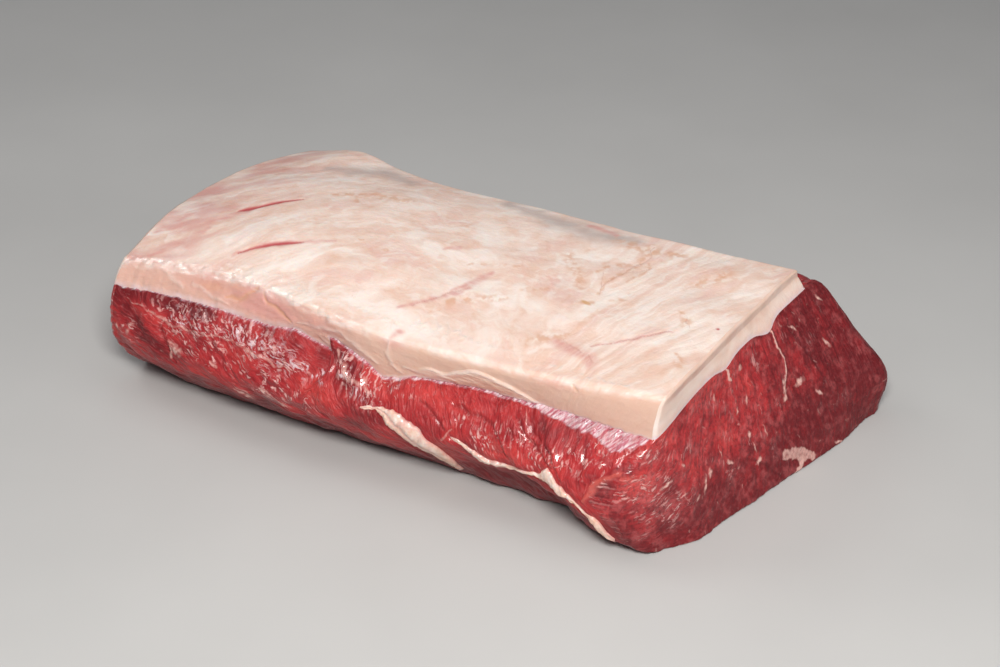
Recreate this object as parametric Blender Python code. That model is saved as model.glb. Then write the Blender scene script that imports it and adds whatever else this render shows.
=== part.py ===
"""Raw beef striploin: a boneless block of lean meat, the fat cap over its top
and two strips of seam fat on its front side.

The long way runs along X, the cut face with the grain is at +X, the front side
with the seam fat is at -Y, and the piece lies on its flat underside at z = 0.
Every cross-section is a ring of points built from named curves, which give one
size each along the length. Sizes are in millimetres until the mesh is made.
"""

import bmesh
import bpy
import numpy as np

MM = 0.001

# ---- along the length -------------------------------------------------------
FIRST = -210.0  # section at the left cut
LAST = 135.0  # section at the right cut
SPANS = ((-210, -78, 20), (-78, -46, 8), (-46, 96, 21), (96, 135, 8))  # from, to, steps
CENTRE = (9.38, -6.66)  # moves the middle of the box to x = y = 0

# ---- curves along the length: (section, size) ---------------------------------
RIM_Y = ((-210, -74), (-175, -71), (-140, -71), (-60, -73), (-20, -77), (20, -73), (135, -74))
RIM_Z = ((-210, 62), (-140, 64), (-100, 61), (-60, 63), (-20, 58), (20, 64), (60, 65), (135, 64.5))
CREASE_Y = ((-210, -62), (-140, -58), (-100, -64), (-60, -73), (-20, -77), (60, -76), (135, -72))
CREASE_Z = ((-210, 73), (-140, 79), (-60, 81), (20, 83), (95, 86), (135, 90))
CROWN_Z = ((-210, 83), (-175, 89), (-140, 93), (-100, 94), (-20, 91), (60, 89), (135, 90))
BACK_Y = ((-210, 97), (-175, 98), (-140, 92), (-100, 86), (-20, 84), (60, 81), (135, 83))
BACK_Z = ((-210, 79), (-175, 86), (-140, 84), (-60, 86), (20, 87), (60, 88), (135, 89))
BULGE_Y = ((-210, -82), (-175, -88), (-140, -92), (-20, -94), (60, -91), (95, -94), (118, -98), (135, -97))
BULGE_Z = ((-210, 34), (-20, 38), (60, 38), (135, 32))
RIDGE_Y = ((-210, -72), (-175, -78), (-100, -83), (-20, -85), (60, -82), (95, -86), (118, -93), (135, -92))
RIDGE_Z = ((-210, 16), (-60, 20), (20, 22), (60, 20), (95, 14), (135, 10))
FOOT_Y = ((-210, -50), (-175, -57), (-100, -60), (60, -62), (95, -64), (118, -77), (135, -79))
SHELF_Y = ((-210, 98), (-175, 103), (-140, 104), (-60, 100), (135, 99))
HIP_Y = ((-210, 102), (-140, 112), (-60, 108), (135, 108))
HIP_Z = 36.0
HEEL_Y = ((-210, 84), (-140, 92), (-60, 90), (135, 94))

# ---- fat cap -----------------------------------------------------------------
CAP_MIDDLE = 13.5  # thickness of the fat over the middle
CAP_BACK = 11.0  # and at the back edge
CAP_GAP = 0.35  # space between fat and lean
TONGUE = (-64, 5, -8.0)  # lip of fat hanging over the front: section, half width, height
NOTCH = (-48, 9, 4.0)  # and the notch beside it
SAG = (-17, 10, -2.0)
SEAM_DIPS = ((-8, 9, 3.0), (36, 9, 4.0))  # ribs under the fat: y, half width, depth
FAT_CORNER = 2.0  # rounding of the top front edge

# ---- cut faces -----------------------------------------------------------------
END_Y = (-76, -61, -28, 20, 63, 95, 110)
END_FLARE = (15, 24, 30, 39, 47, 50, 50)  # how far the foot of the right cut stands out
CAP_Y = (-76, -20, 10, 60, 90)
CAP_OUT = (7.0, 4.0, 2.4, 0.5, 0)  # how far the top of the fat stands out over its lower edge there
EDGE = 2.5  # rounding of the outer edge of both cuts

# ---- folds of the front side: section, z, turn, half length, half width, height --
FRONT_MOUNDS = (
    (98, 48, -25, 20, 11, 3.0),
    (122, 50, 62, 9, 4, 2.2),
    (60, 52, -30, 22, 9, 1.6),
    (14, 50, -35, 20, 9, 1.4),
    (-42, 44, -40, 22, 8, 1.8),
    (-92, 46, -38, 22, 9, 1.6),
    (-140, 44, -35, 20, 9, 1.4),
    (-182, 40, -60, 16, 9, 1.5),
    (70, 20, 0, 40, 9, -3.0),
    (-70, 24, 0, 60, 8, 1.5),
)

# ---- seam fat: section, z, half width ---------------------------------------------
SEAM_LOBE = ((-25, 46, 1.6), (-12, 44, 3.2), (-2, 39, 7.5), (7, 33, 8.0), (14, 25, 5.5), (19, 16, 2.6), (21, 10, 1.6))
SEAM_STRIP = (
    (31, 41, 1.5),
    (41, 38, 1.6),
    (51, 33, 2.0),
    (70, 34, 1.8),
    (84, 34, 3.6),
    (94, 33, 4.6),
    (106, 31, 3.0),
    (115, 28, 1.8),
    (120, 21, 2.0),
    (121, 13, 3.2),
    (123, 7, 1.8),
)
SEAM_PROUD = 1.5
SEAM_DEEP = 1.6

# ---- points round each ring ------------------------------------------------------
FRONT_STEPS = 13
BOTTOM_STEPS = 5
BACK_STEPS = 9
JOIN_STEPS = 13  # fat-lean interface, the same on both solids
TOP_STEPS = 11
CAP_RINGS = 4


def along(curve, x):
    """Smooth curve through (section, size) pairs: cubic Hermite with central slopes."""
    knots = np.array(curve, float)
    sections, sizes = knots[:, 0], knots[:, 1]
    slopes = np.gradient(sizes, sections)
    x = np.clip(x, sections[0], sections[-1])
    i = np.clip(np.searchsorted(sections, x, side="right") - 1, 0, len(sections) - 2)
    h = sections[i + 1] - sections[i]
    u = (x - sections[i]) / h
    start = (2 * u**3 - 3 * u**2 + 1) * sizes[i] + (u**3 - 2 * u**2 + u) * h * slopes[i]
    stop = (3 * u**2 - 2 * u**3) * sizes[i + 1] + (u**3 - u**2) * h * slopes[i + 1]
    return start + stop


def through(points, steps):
    """Catmull-Rom curve through (y, z) points, `steps` of them, the last point left out."""
    p = np.array(points, float)
    p = np.vstack([2 * p[0] - p[1], p, 2 * p[-1] - p[-2]])
    spans = len(p) - 3
    u = np.linspace(0, spans, steps, endpoint=False)
    i = np.minimum(u.astype(int), spans - 1)
    f = (u - i)[:, None]
    a, b, c, d = p[i], p[i + 1], p[i + 2], p[i + 3]
    return 0.5 * (2 * b + (c - a) * f + (2 * a - 5 * b + 4 * c - d) * f**2 + (3 * b - a - 3 * c + d) * f**3)


def hump(value, centre, half_width):
    """Bell of height 1."""
    return np.exp(-(((value - centre) / half_width) ** 2))


def mound(u, v, centre_u, centre_v, turn, half_length, half_width, height):
    """Long bell turned by `turn` degrees in the (u, v) plane."""
    c, s = np.cos(np.radians(turn)), np.sin(np.radians(turn))
    a = (u - centre_u) * c + (v - centre_v) * s
    b = (v - centre_v) * c - (u - centre_u) * s
    return height * np.exp(-((a / half_length) ** 2) - (b / half_width) ** 2)


def sizes_at(section):
    """All sizes of one cross-section."""
    s = {
        "section": section,
        "rim_y": along(RIM_Y, section),
        "rim_z": along(RIM_Z, section),
        "crease_y": along(CREASE_Y, section),
        "crease_z": along(CREASE_Z, section),
        "crown_z": along(CROWN_Z, section),
        "back_y": along(BACK_Y, section),
        "back_z": along(BACK_Z, section),
        "bulge_y": along(BULGE_Y, section),
        "bulge_z": along(BULGE_Z, section),
        "ridge_y": along(RIDGE_Y, section),
        "ridge_z": along(RIDGE_Z, section),
        "foot_y": along(FOOT_Y, section),
        "shelf_y": along(SHELF_Y, section),
        "hip_y": along(HIP_Y, section),
        "heel_y": along(HEEL_Y, section),
    }
    for centre, half_width, height in (TONGUE, NOTCH, SAG):
        s["rim_z"] += height * hump(section, centre, half_width)
    return s


def top_height(s, y):
    """Top of the fat across one section."""
    cy, cz, by, bz, top = s["crease_y"], s["crease_z"], s["back_y"], s["back_z"], s["crown_z"]
    knots = ((cy, cz), (0.5 * cy, cz + 0.75 * (top - cz)), (0, top), (0.55 * by, bz + 0.8 * (top - bz)), (by, bz))
    return along(knots, y)


def join_height(s, y):
    """Where fat meets lean: the top less the thickness of the cap."""
    across = np.clip((y - s["rim_y"]) / (s["back_y"] - s["rim_y"]), 0, 1)
    front = top_height(s, s["rim_y"]) - s["rim_z"]
    thick = CAP_MIDDLE + (front - CAP_MIDDLE) * np.exp(-6.5 * across) + (CAP_BACK - CAP_MIDDLE) * across**3
    fade = np.clip((s["section"] + 60) / 195, 0, 1)
    for centre, half_width, depth in SEAM_DIPS:
        thick = thick + depth * fade * hump(y, centre, half_width)
    return top_height(s, y) - thick


def right_end(y, z):
    """The right cut, x over (y, z): a twisted face whose foot stands out."""
    yc = np.clip(y, END_Y[0], END_Y[-1])
    down = np.clip((84 - z) / 84, 0, 1)
    bend = 1.2 * np.clip((yc + 20) / 110, 0, 1)
    x = 125 + 0.12 * (yc + 72) + np.interp(yc, END_Y, END_FLARE) * down * (1 + 0.5 * (1 - down) * bend)
    x = x + 10.5 * hump(y, 106, 20) * hump(z, 26, 17) - 3 * hump(y, 85, 16) * hump(z, 0, 12)
    x = x + np.interp(yc, CAP_Y, CAP_OUT) * np.clip((z - 66) / 20, 0, 1)
    return x - 0.018 * np.clip(-66 - y, 0, None) ** 2 - 0.05 * np.clip(y - 95, 0, None) ** 2


def left_end(y, z):
    """The left cut, x over (y, z): rounded away toward the back."""
    q = np.clip(y + 20, 0, None)
    return -213 + 0.045 * q + 1.45e-5 * q**3 + 0.07 * np.clip(40 - z, 0, None)


def place(section, y, z):
    """x of a ring point: the sections fan out between the two cut faces."""
    t = (section - FIRST) / (LAST - FIRST)
    return (1 - t) * left_end(y, z) + t * right_end(y, z)


def front_relief(section, z):
    """Folds of the front side, outward, fading out at the rim and the foot."""
    slant = section + 0.8 * z
    height = 0.8 * np.sin(slant / 4.6 + 0.9 * np.sin(section / 33)) * np.sin(slant / 29 + 1.0)
    for m in FRONT_MOUNDS:
        height = height + mound(section, z, *m)
    return height


def front_curve(s, steps):
    """Front side of the lean from the rim of the fat down to the foot."""
    shoulder = (0.6 * s["bulge_y"] + 0.4 * s["rim_y"], 0.5 * (s["rim_z"] + s["bulge_z"]) + 4)
    knots = (
        (s["rim_y"], s["rim_z"]),
        shoulder,
        (s["bulge_y"], s["bulge_z"]),
        (s["ridge_y"], s["ridge_z"]),
        (s["foot_y"] - 8, 3),
        (s["foot_y"], 0),
    )
    p = through(knots, steps)
    fade = np.clip((s["rim_z"] - p[:, 1]) / 12, 0, 1) * np.clip(p[:, 1] / 12, 0, 1)
    p[:, 0] -= front_relief(s["section"], p[:, 1]) * fade
    return p


def lean_ring(section):
    """(y, z) points round the lean: front, underside, back, then under the fat."""
    s = sizes_at(section)
    front = front_curve(s, FRONT_STEPS)
    y = np.linspace(s["foot_y"], s["heel_y"], BOTTOM_STEPS, endpoint=False)
    bottom = np.stack([y, 0 * y], -1)
    edge = join_height(s, s["back_y"])
    back = through(
        (
            (s["heel_y"], 0),
            (s["heel_y"] + 10, 6),
            (s["hip_y"], HIP_Z - 8),
            (s["hip_y"] - 2, HIP_Z + 14),
            (s["shelf_y"], edge - 3),
            (s["back_y"], edge),
        ),
        BACK_STEPS,
    )
    y = np.linspace(s["rim_y"], s["back_y"], JOIN_STEPS)
    join = np.stack([y, join_height(s, y)], -1)[::-1][:-1]
    return np.vstack([front, bottom, back, join])


def lean_edge_share():
    """How much of the edge rounding each ring point of the lean takes (none under the fat)."""
    outside = FRONT_STEPS + BOTTOM_STEPS + BACK_STEPS
    share = np.ones(outside + JOIN_STEPS - 1)
    share[outside:] = 0
    share[0] = 0
    share[1] = 0.5
    share[outside - 1] = 0.5
    return share


def fat_ring(section):
    """(y, z) points round the fat cap: top, back edge, underside, front side."""
    s = sizes_at(section)
    y = np.linspace(s["crease_y"] + FAT_CORNER, s["back_y"] - 1.5, TOP_STEPS)
    top = np.stack([y, top_height(s, y)], -1)
    y = np.linspace(s["rim_y"], s["back_y"], JOIN_STEPS)
    under = np.stack([y, join_height(s, y) + CAP_GAP], -1)[::-1]
    back = np.stack([[s["back_y"] + 0.4, s["back_y"] + 1.0], [s["back_z"] - 2, 0.5 * (s["back_z"] + under[0, 1])]], -1)
    rim = np.array([s["rim_y"], s["rim_z"] + CAP_GAP])
    crease = np.array([s["crease_y"], s["crease_z"]])
    front = np.stack([rim + (-1.2, 2.0), rim + 0.5 * (crease - rim) + (-1.5, 0), crease + (-0.8, -FAT_CORNER)])
    return np.vstack([top, back, under, front])


def fat_edge_share():
    """Edge rounding of the fat cap: everywhere but its underside."""
    share = np.ones(TOP_STEPS + 2 + JOIN_STEPS + 3)
    share[TOP_STEPS + 2 : TOP_STEPS + 2 + JOIN_STEPS] = 0
    share[TOP_STEPS + 1] = 0.5
    share[TOP_STEPS + 2 + JOIN_STEPS] = 0.5
    return share


def sections():
    """Where the rings stand, closer together where the outline turns."""
    out = []
    for start, stop, steps in SPANS:
        out.extend(np.linspace(start, stop, steps, endpoint=False))
    out.append(LAST)
    return out


def new_object(name, bm):
    """Mesh object from a bmesh in millimetres, moved to the centre and set in metres."""
    bmesh.ops.recalc_face_normals(bm, faces=bm.faces)
    mesh = bpy.data.meshes.new(name)
    bm.to_mesh(mesh)
    bm.free()
    xyz = np.empty(len(mesh.vertices) * 3)
    mesh.vertices.foreach_get("co", xyz)
    xyz = xyz.reshape(-1, 3) + (CENTRE[0], CENTRE[1], 0)
    mesh.vertices.foreach_set("co", (xyz * MM).ravel())
    mesh.update()
    obj = bpy.data.objects.new(name, mesh)
    bpy.context.collection.objects.link(obj)
    return obj


def add_ring(bm, points):
    """One ring of vertices."""
    return [bm.verts.new(p) for p in points]


def bridge(bm, a, b):
    """Joins two rings with triangles that all lean the same way."""
    count = len(a)
    for k in range(count):
        n = (k + 1) % count
        bm.faces.new((a[k], a[n], b[n]))
        bm.faces.new((a[k], b[n], b[k]))


def inward(ring):
    """Unit vectors in the section plane that point into the ring."""
    ahead = np.roll(ring, -1, 0) - np.roll(ring, 1, 0)
    side = np.column_stack([-ahead[:, 1], ahead[:, 0]])
    side /= np.linalg.norm(side, axis=1)[:, None]
    after = np.roll(ring, -1, 0)
    area = (ring[:, 0] * after[:, 1] - after[:, 0] * ring[:, 1]).sum()
    return side * np.sign(area)


def edge_rows(ring, end, share, sign):
    """Two rings that turn from the side onto a cut face: a quarter round of radius EDGE."""
    rows = []
    for turn in (45, 90):
        inset = EDGE * share * (1 - np.cos(np.radians(turn)))
        back = EDGE * share * (1 - np.sin(np.radians(turn)))
        yz = ring + inward(ring) * inset[:, None]
        rows.append(np.column_stack([end(yz[:, 0], yz[:, 1]) - sign * back, yz]))
    return rows


def shrunk_rows(row, end):
    """Smaller and smaller rings toward the middle of a cut face."""
    yz = row[:, 1:]
    middle = yz.mean(0)
    rows = []
    for k in range(1, CAP_RINGS):
        small = middle + (yz - middle) * (1 - k / CAP_RINGS)
        rows.append(np.column_stack([end(small[:, 0], small[:, 1]), small]))
    return rows


def close_with_fan(bm, ring, end):
    """Closes the small ring in the middle of a cut face round one vertex."""
    y = np.mean([v.co.y for v in ring])
    z = np.mean([v.co.z for v in ring])
    middle = bm.verts.new((end(y, z), y, z))
    for k in range(len(ring)):
        bm.faces.new((ring[k - 1], ring[k], middle))


def close_with_zip(bm, ring, end):
    """Closes the end of the fat cap: upper and lower chain are zipped together from front to back."""
    under = ring[TOP_STEPS + 2 : TOP_STEPS + 2 + JOIN_STEPS]
    lower = under[::-1]
    upper = ring[TOP_STEPS + 2 + JOIN_STEPS :] + ring[: TOP_STEPS + 2]
    i = 0
    j = 0
    while i < len(upper) - 1 or j < len(lower) - 1:
        upper_next = upper[i + 1].co.y if i < len(upper) - 1 else np.inf
        lower_next = lower[j + 1].co.y if j < len(lower) - 1 else np.inf
        if upper_next < lower_next:
            bm.faces.new((upper[i], upper[i + 1], lower[j]))
            i += 1
        else:
            bm.faces.new((upper[i], lower[j + 1], lower[j]))
            j += 1


def solid(name, ring_of, share, inner_rings, close):
    """Lofts the rings from cut to cut and closes both cut faces."""
    bm = bmesh.new()
    stops = sections()
    left = edge_rows(ring_of(stops[0]), left_end, share, -1)
    right = edge_rows(ring_of(stops[-1]), right_end, share, 1)
    if inner_rings:
        left += shrunk_rows(left[-1], left_end)
        right += shrunk_rows(right[-1], right_end)
    rows = left[::-1]
    for section in stops:
        ring = ring_of(section)
        x = place(section, ring[:, 0], ring[:, 1])
        lead = x - left_end(ring[:, 0], ring[:, 1])
        trail = right_end(ring[:, 0], ring[:, 1]) - x
        x = x + np.clip(EDGE * share - lead, 0, None) - np.clip(EDGE * share - trail, 0, None)
        rows.append(np.column_stack([x, ring]))
    rings = [add_ring(bm, row) for row in rows + right]
    for a, b in zip(rings, rings[1:]):
        bridge(bm, a, b)
    close(bm, rings[0], left_end)
    close(bm, rings[-1], right_end)
    return new_object(name, bm)


def front_point(section, z):
    """Point on the front side of the lean at a height."""
    curve = front_curve(sizes_at(section), 60)
    y = np.interp(-z, -curve[:, 1], curve[:, 0])
    return np.array([float(place(section, y, z)), y, z])


def seam(name, path, grow):
    """Lens-shaped strip that follows a path on the front side, grown all round by `grow`."""
    path = np.array(path, float)
    count = 3 * len(path)
    u = np.linspace(0, len(path) - 1, count)
    knots = np.arange(len(path))
    line = np.stack([along(np.stack([knots, path[:, k]], -1), u) for k in range(3)], -1)
    points = np.array([front_point(a, b) for a, b, _ in line])
    tangent = np.gradient(points, axis=0)
    tangent /= np.linalg.norm(tangent, axis=1)[:, None]
    bm = bmesh.new()
    rings = []
    for i, (section, z, half) in enumerate(line):
        across = front_point(section, z + 2) - front_point(section, z - 2)
        ahead = front_point(section + 2, z) - front_point(section - 2, z)
        normal = np.cross(ahead, across)
        normal /= np.linalg.norm(normal)
        side = np.cross(normal, tangent[i])
        side /= np.linalg.norm(side)
        shrink = 0.72 if i in (0, count - 1) else 1.0
        angle = np.radians(np.arange(0, 360, 36))
        wide = (half * shrink + grow) * np.cos(angle)
        tall = np.where(np.sin(angle) > 0, SEAM_PROUD * shrink + grow, SEAM_DEEP * shrink + grow) * np.sin(angle)
        shift = tangent[i] * grow * ((i == count - 1) - (i == 0))
        rings.append(add_ring(bm, points[i] + shift + wide[:, None] * side + tall[:, None] * normal))
    for a, b in zip(rings, rings[1:]):
        bridge(bm, a, b)
    for ring in (rings[0], rings[-1]):
        bm.faces.new(ring)
    return new_object(name, bm)


def material(name, color, roughness):
    """Plain material with a base colour."""
    mat = bpy.data.materials.new(name)
    mat.use_nodes = True
    shader = next(n for n in mat.node_tree.nodes if n.type == "BSDF_PRINCIPLED")
    shader.inputs["Base Color"].default_value = (*color, 1)
    shader.inputs["Roughness"].default_value = roughness
    mat.diffuse_color = (*color, 1)
    return mat


def main():
    for obj in list(bpy.data.objects):
        bpy.data.objects.remove(obj, do_unlink=True)
    lean = solid("lean_meat", lean_ring, lean_edge_share(), True, close_with_fan)
    cap = solid("fat_cap", fat_ring, fat_edge_share(), False, close_with_zip)
    red = material("lean", (0.36, 0.055, 0.045), 0.35)
    cream = material("cap_fat", (0.86, 0.66, 0.55), 0.45)
    pale = material("seam_fat", (0.84, 0.62, 0.50), 0.4)
    lean.data.materials.append(red)
    cap.data.materials.append(cream)
    for name, path in (("seam_fat_lobe", SEAM_LOBE), ("seam_fat_strip", SEAM_STRIP)):
        strip = seam(name, path, 0.0)
        strip.data.materials.append(pale)
        cutter = seam("pocket_" + name, path, CAP_GAP)
        cutter.hide_render = True
        cutter.display_type = "WIRE"
        pocket = lean.modifiers.new("pocket_" + name, "BOOLEAN")
        pocket.operation = "DIFFERENCE"
        pocket.solver = "EXACT"
        pocket.object = cutter


main()
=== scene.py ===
import bpy
import numpy as np
from bpy.props import FloatProperty, FloatVectorProperty, PointerProperty
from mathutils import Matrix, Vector


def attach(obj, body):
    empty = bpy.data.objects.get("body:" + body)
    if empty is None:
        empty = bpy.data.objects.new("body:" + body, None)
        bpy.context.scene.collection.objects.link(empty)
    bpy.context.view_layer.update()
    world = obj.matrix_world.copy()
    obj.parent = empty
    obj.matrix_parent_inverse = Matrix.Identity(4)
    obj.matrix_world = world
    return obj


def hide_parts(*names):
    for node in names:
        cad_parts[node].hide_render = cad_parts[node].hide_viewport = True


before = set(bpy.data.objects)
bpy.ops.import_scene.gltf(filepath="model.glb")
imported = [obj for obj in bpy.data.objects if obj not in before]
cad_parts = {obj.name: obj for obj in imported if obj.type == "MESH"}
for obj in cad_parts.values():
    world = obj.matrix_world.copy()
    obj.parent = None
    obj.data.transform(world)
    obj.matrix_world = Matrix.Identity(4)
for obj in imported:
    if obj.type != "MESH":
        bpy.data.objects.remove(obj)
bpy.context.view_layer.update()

bl_info = {
    "name": "Raw Striploin",
    "version": (1, 1, 0),
    "blender": (4, 5, 0),
    "location": "3D View > Sidebar > Striploin",
    "description": "Fine surfaces and finishes of a raw beef striploin: lean meat, fat cap and seam fat",
    "category": "Add Mesh",
}

MM = 0.001
BODY = "root"

# ---- the form, in millimetres: the same named curves as the solids ----
FIRST = -210.0  # section at the left cut
LAST = 135.0  # section at the right cut
CENTRE = (9.38, -6.66)  # moves the middle of the box to x = y = 0
CURVES = {
    "rim_y": ((-210, -74), (-175, -71), (-140, -71), (-60, -73), (-20, -77), (20, -73), (135, -74)),
    "rim_z": (
        *((-210, 62), (-140, 64), (-100, 64), (-84, 65.8), (-76, 62.7), (-70, 60), (-66, 57.5)),
        *((-62.5, 67.5), (-60, 69), (-51, 66.5), (-39, 63.6), (-33, 61), (-27, 57), (-16, 58.4)),
        *((-3, 61.8), (20, 64), (60, 65), (135, 64.5)),
    ),
    "crease_y": ((-210, -62), (-140, -58), (-100, -64), (-60, -73), (-20, -77), (60, -76), (135, -72)),
    "crease_z": ((-210, 73), (-140, 79), (-60, 81), (20, 83), (95, 86), (135, 90)),
    "crown_z": ((-210, 83), (-175, 89), (-140, 93), (-100, 94), (-20, 91), (60, 89), (135, 90)),
    "back_y": ((-210, 97), (-175, 98), (-140, 92), (-100, 86), (-20, 84), (60, 81), (135, 83)),
    "back_z": ((-210, 79), (-175, 86), (-140, 84), (-60, 86), (20, 87), (60, 88), (135, 89)),
    "bulge_y": (
        *((-210, -82), (-175, -88), (-140, -92), (-20, -94), (60, -91), (95, -94), (118, -98)),
        (135, -97),
    ),
    "bulge_z": ((-210, 34), (-20, 38), (60, 38), (135, 32)),
    "ridge_y": (
        *((-210, -72), (-175, -78), (-100, -83), (-20, -85), (60, -82), (95, -86), (118, -93)),
        (135, -92),
    ),
    "ridge_z": ((-210, 16), (-60, 20), (20, 22), (60, 20), (95, 14), (135, 10)),
    "foot_y": ((-210, -50), (-175, -57), (-100, -60), (60, -62), (95, -64), (118, -77), (135, -79)),
    "shelf_y": ((-210, 98), (-175, 103), (-140, 104), (-60, 100), (135, 99)),
    "hip_y": ((-210, 102), (-140, 112), (-60, 108), (135, 108)),
    "heel_y": ((-210, 84), (-140, 92), (-60, 90), (135, 94)),
}
RAGGED_RIM = ((0.9, 9, 1, 11), (0.5, 3.2, 1, 12))  # waves of the lower edge of the fat, for ripples()
HIP_Z = 36.0
CAP_MIDDLE = 13.5  # thickness of the fat over the middle
CAP_BACK = 11.0  # and at the back edge
CAP_FRONT_FADE = 6.5  # how fast the thickness at the front gives way to that
SEAM_DIPS = ((-8, 9, 3.0), (36, 9, 4.0))  # ribs under the fat: y, half width, depth
SEAM_DIPS_FROM = -60.0  # the section where they begin
RIGHT_X = 125.0  # x of the upper front corner of the right cut
RIGHT_Y = -72.0  # and its y
RIGHT_SKEW = 0.12  # how much further right it lies for each step toward the back
FLARE_TOP = 84.0  # below this height the right cut flares out
CUT_SWELLS = ((106, 20, 26, 17, 10.5), (85, 16, 0, 12, -3.0))  # on it: y, half width, z, half width, height
TWIST_FROM = -20.0  # from this y back, the right cut bulges between top and foot
TWIST_SPAN = 110.0
ROUND_FRONT = (-66.0, 0.018)  # before this y it falls away by this times the square of the way
ROUND_BACK = (95.0, 0.05)  # and behind this one
LEFT_X = -213.0  # x of the front half of the left cut
LEFT_BACK = (-20.0, 0.045, 1.45e-5)  # behind this y it falls away by this times the way, and its cube
LEFT_FOOT = (40.0, 0.07)  # and below this height
TONGUE_TOP = 68.0  # below this height the tongue of fat hangs over to the right
TONGUE_LEAN = 1.8
END_Y = (-76, -61, -28, 20, 63, 95, 110)
END_FLARE = (15, 24, 30, 39, 47, 50, 50)  # how far the foot of the right cut stands out there
CAP_Y = (-76, -20, 10, 60, 90)
CAP_OUT = (7.0, 4.0, 2.4, 0.5, 0)  # how far the top of the fat stands out over its lower edge there
CAP_OUT_Z = (60, 92)  # between these heights
LEAN_EDGE = 2.5  # rounding of the outer edge of both cuts
FAT_EDGE = 1.5
FAT_OVERLAP = 0.4  # how far the fat reaches down over the lean along its front edge
FAT_SINK = 0.3  # and over the rest of the join
BACK_BULGE = 2.2  # how far the rounded back edge of the fat stands out
TOP_CROWDING = 1.15  # above 1, the columns over the top lie closer toward the front
FRONT_BULGE = 1.1  # how far the front of the fat bulges
LIP_OUT = 1.1  # and how far its curled lip stands out
CREASE_ROUND = 4.5  # how far over the top the rounding of the crease reaches
CREASE_SHARE = 0.74  # and where it ends on the front
FOLD_HEIGHT = 0.8  # low folds all over the front side
FOLD_SLANT = 0.8
FRONT_MOUNDS = (  # section, z, turn, half length, half width, height
    (98, 48, -25, 20, 11, 3.0),
    (122, 50, 62, 9, 4, 2.2),
    (60, 52, -30, 22, 9, 1.6),
    (14, 50, -35, 20, 9, 1.4),
    (-42, 44, -40, 22, 8, 1.8),
    (-92, 46, -38, 22, 9, 1.6),
    (-140, 44, -35, 20, 9, 1.4),
    (-182, 40, -60, 16, 9, 1.5),
    (70, 20, 0, 40, 9, -3.0),
    (-70, 24, 0, 60, 8, 1.5),
)

# ---- seam fat: section and z of its upper edge, then of its lower edge ----
SEAM_LOBE = (
    (-25, 44.9, -25, 44.1),
    (-17, 46.2, -17, 44.2),
    (-9, 47.4, -12, 42.4),
    (-2, 47.0, -9, 38.5),
    (3, 45.3, -6, 36.0),
    (8, 43.6, -2, 33.5),
    (13, 40.5, -1, 27.0),
    (15, 35.6, 1, 22.0),
    (18, 31.0, 4, 17.5),
    (18, 24.0, 7, 13.0),
    (18, 18.0, 9, 9.0),
    (15, 9.0, 10, 5.0),
)
SEAM_STRIP = (
    (31, 42.0, 31, 41.2),
    (38, 40.6, 37, 38.2),
    (43, 38.4, 41, 34.6),
    (47, 35.8, 45, 31.0),
    (51, 33.6, 49, 29.4),
    (57, 33.8, 55, 29.8),
    (62, 33.4, 61, 31.2),
    (72, 35.0, 72, 33.4),
    (82, 36.8, 82, 34.6),
    (89, 38.4, 88, 34.8),
    (94, 42.4, 91, 33.8),
    (98, 43.8, 95, 32.4),
    (102, 41.0, 101, 32.0),
    (107, 37.8, 106, 31.0),
    (111, 36.0, 111, 31.4),
    (115, 33.2, 114, 30.4),
    (119, 28.8, 118, 27.2),
    (122, 25.0, 120, 23.0),
    (125, 23.6, 121, 18.5),
    (126.5, 20.0, 122, 14.5),
    (127, 14.0, 123, 9.5),
    (129, 10.5, 126, 7.5),
)
SEAM_PROUD = 1.9  # how far the seam fat stands out
SEAM_DEEP = 1.6  # and how far it reaches in
LOBE_GROOVE = 0.9  # depth of the furrow along the lobe

# ---- how fine the grids are ----
STATIONS = 540  # rows of the lean body along the length
FRONT_COLUMNS = 128
UNDER_COLUMNS = 4
BACK_COLUMNS = 38
JOIN_COLUMNS = 12
FRONT_SHARES = (0, 0.15, 0.40, 0.64, 0.92, 1)  # where the knots of the front lie along its columns
BACK_SHARES = (0, 0.1, 0.38, 0.6, 0.9, 1)
FAT_STATIONS = 480
FAT_FRONT_COLUMNS = 36
FAT_TOP_COLUMNS = 135
CREASE_COLUMNS = 5  # on each side of the crease
BACK_TURNS = (160, 125, 90, 65, 40, 15)  # angles of the points round the back edge of the fat
CUT_COLUMNS = 360
CUT_ROWS = 130
FAT_CUT_COLUMNS = 240
FAT_CUT_ROWS = 26
SEAM_ROWS = 170
SEAM_COLUMNS = 15
FRONT_POINTS = 90  # points down a section on which the seam fat is laid
JOIN_POINTS = 200  # points along the line where fat meets lean, at a cut
SKIN_TURN = 0.75  # how the streaks of the silverskin are turned, in radians
FLOW_TABLE = (-260, 180, 900)  # from, to and count of the places where fields of lines are added up
LIP = 0.5  # how far the bodies reach under the cut faces that cover their ends
LIP_TUCK = 0.5  # share of that by which the reaching rows are drawn in
FAN_DEPTH = 20.0  # how much deeper than a lip the middle of a closed end lies
SKIRT_DEPTH = 1.0  # how far the skirt of a cut face goes back
SKIRT_LEAN = 0.8  # share of the first column by which it leans in
SKIRT_MIDDLE = 5.0  # how much deeper than the skirt its middle lies

# ---- how the fibres run: place, angle in degrees ----
FRONT_FIBRES = (
    *((-210, -18), (-170, -22), (-130, -27), (-95, -33), (-65, -45), (-45, -54), (20, -58)),
    (135, -62),
)
CUT_FIBRES = ((-100, 3), (-85, 8), (-68, 26), (-45, 46), (-20, 60), (10, 70), (60, 75), (110, 75))
FAT_FIBRES = (
    *((-215, 32), (-160, 38), (-110, 20), (-60, 8), (-25, 24), (20, 44), (60, 56), (100, 44)),
    (140, 38),
)

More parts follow.
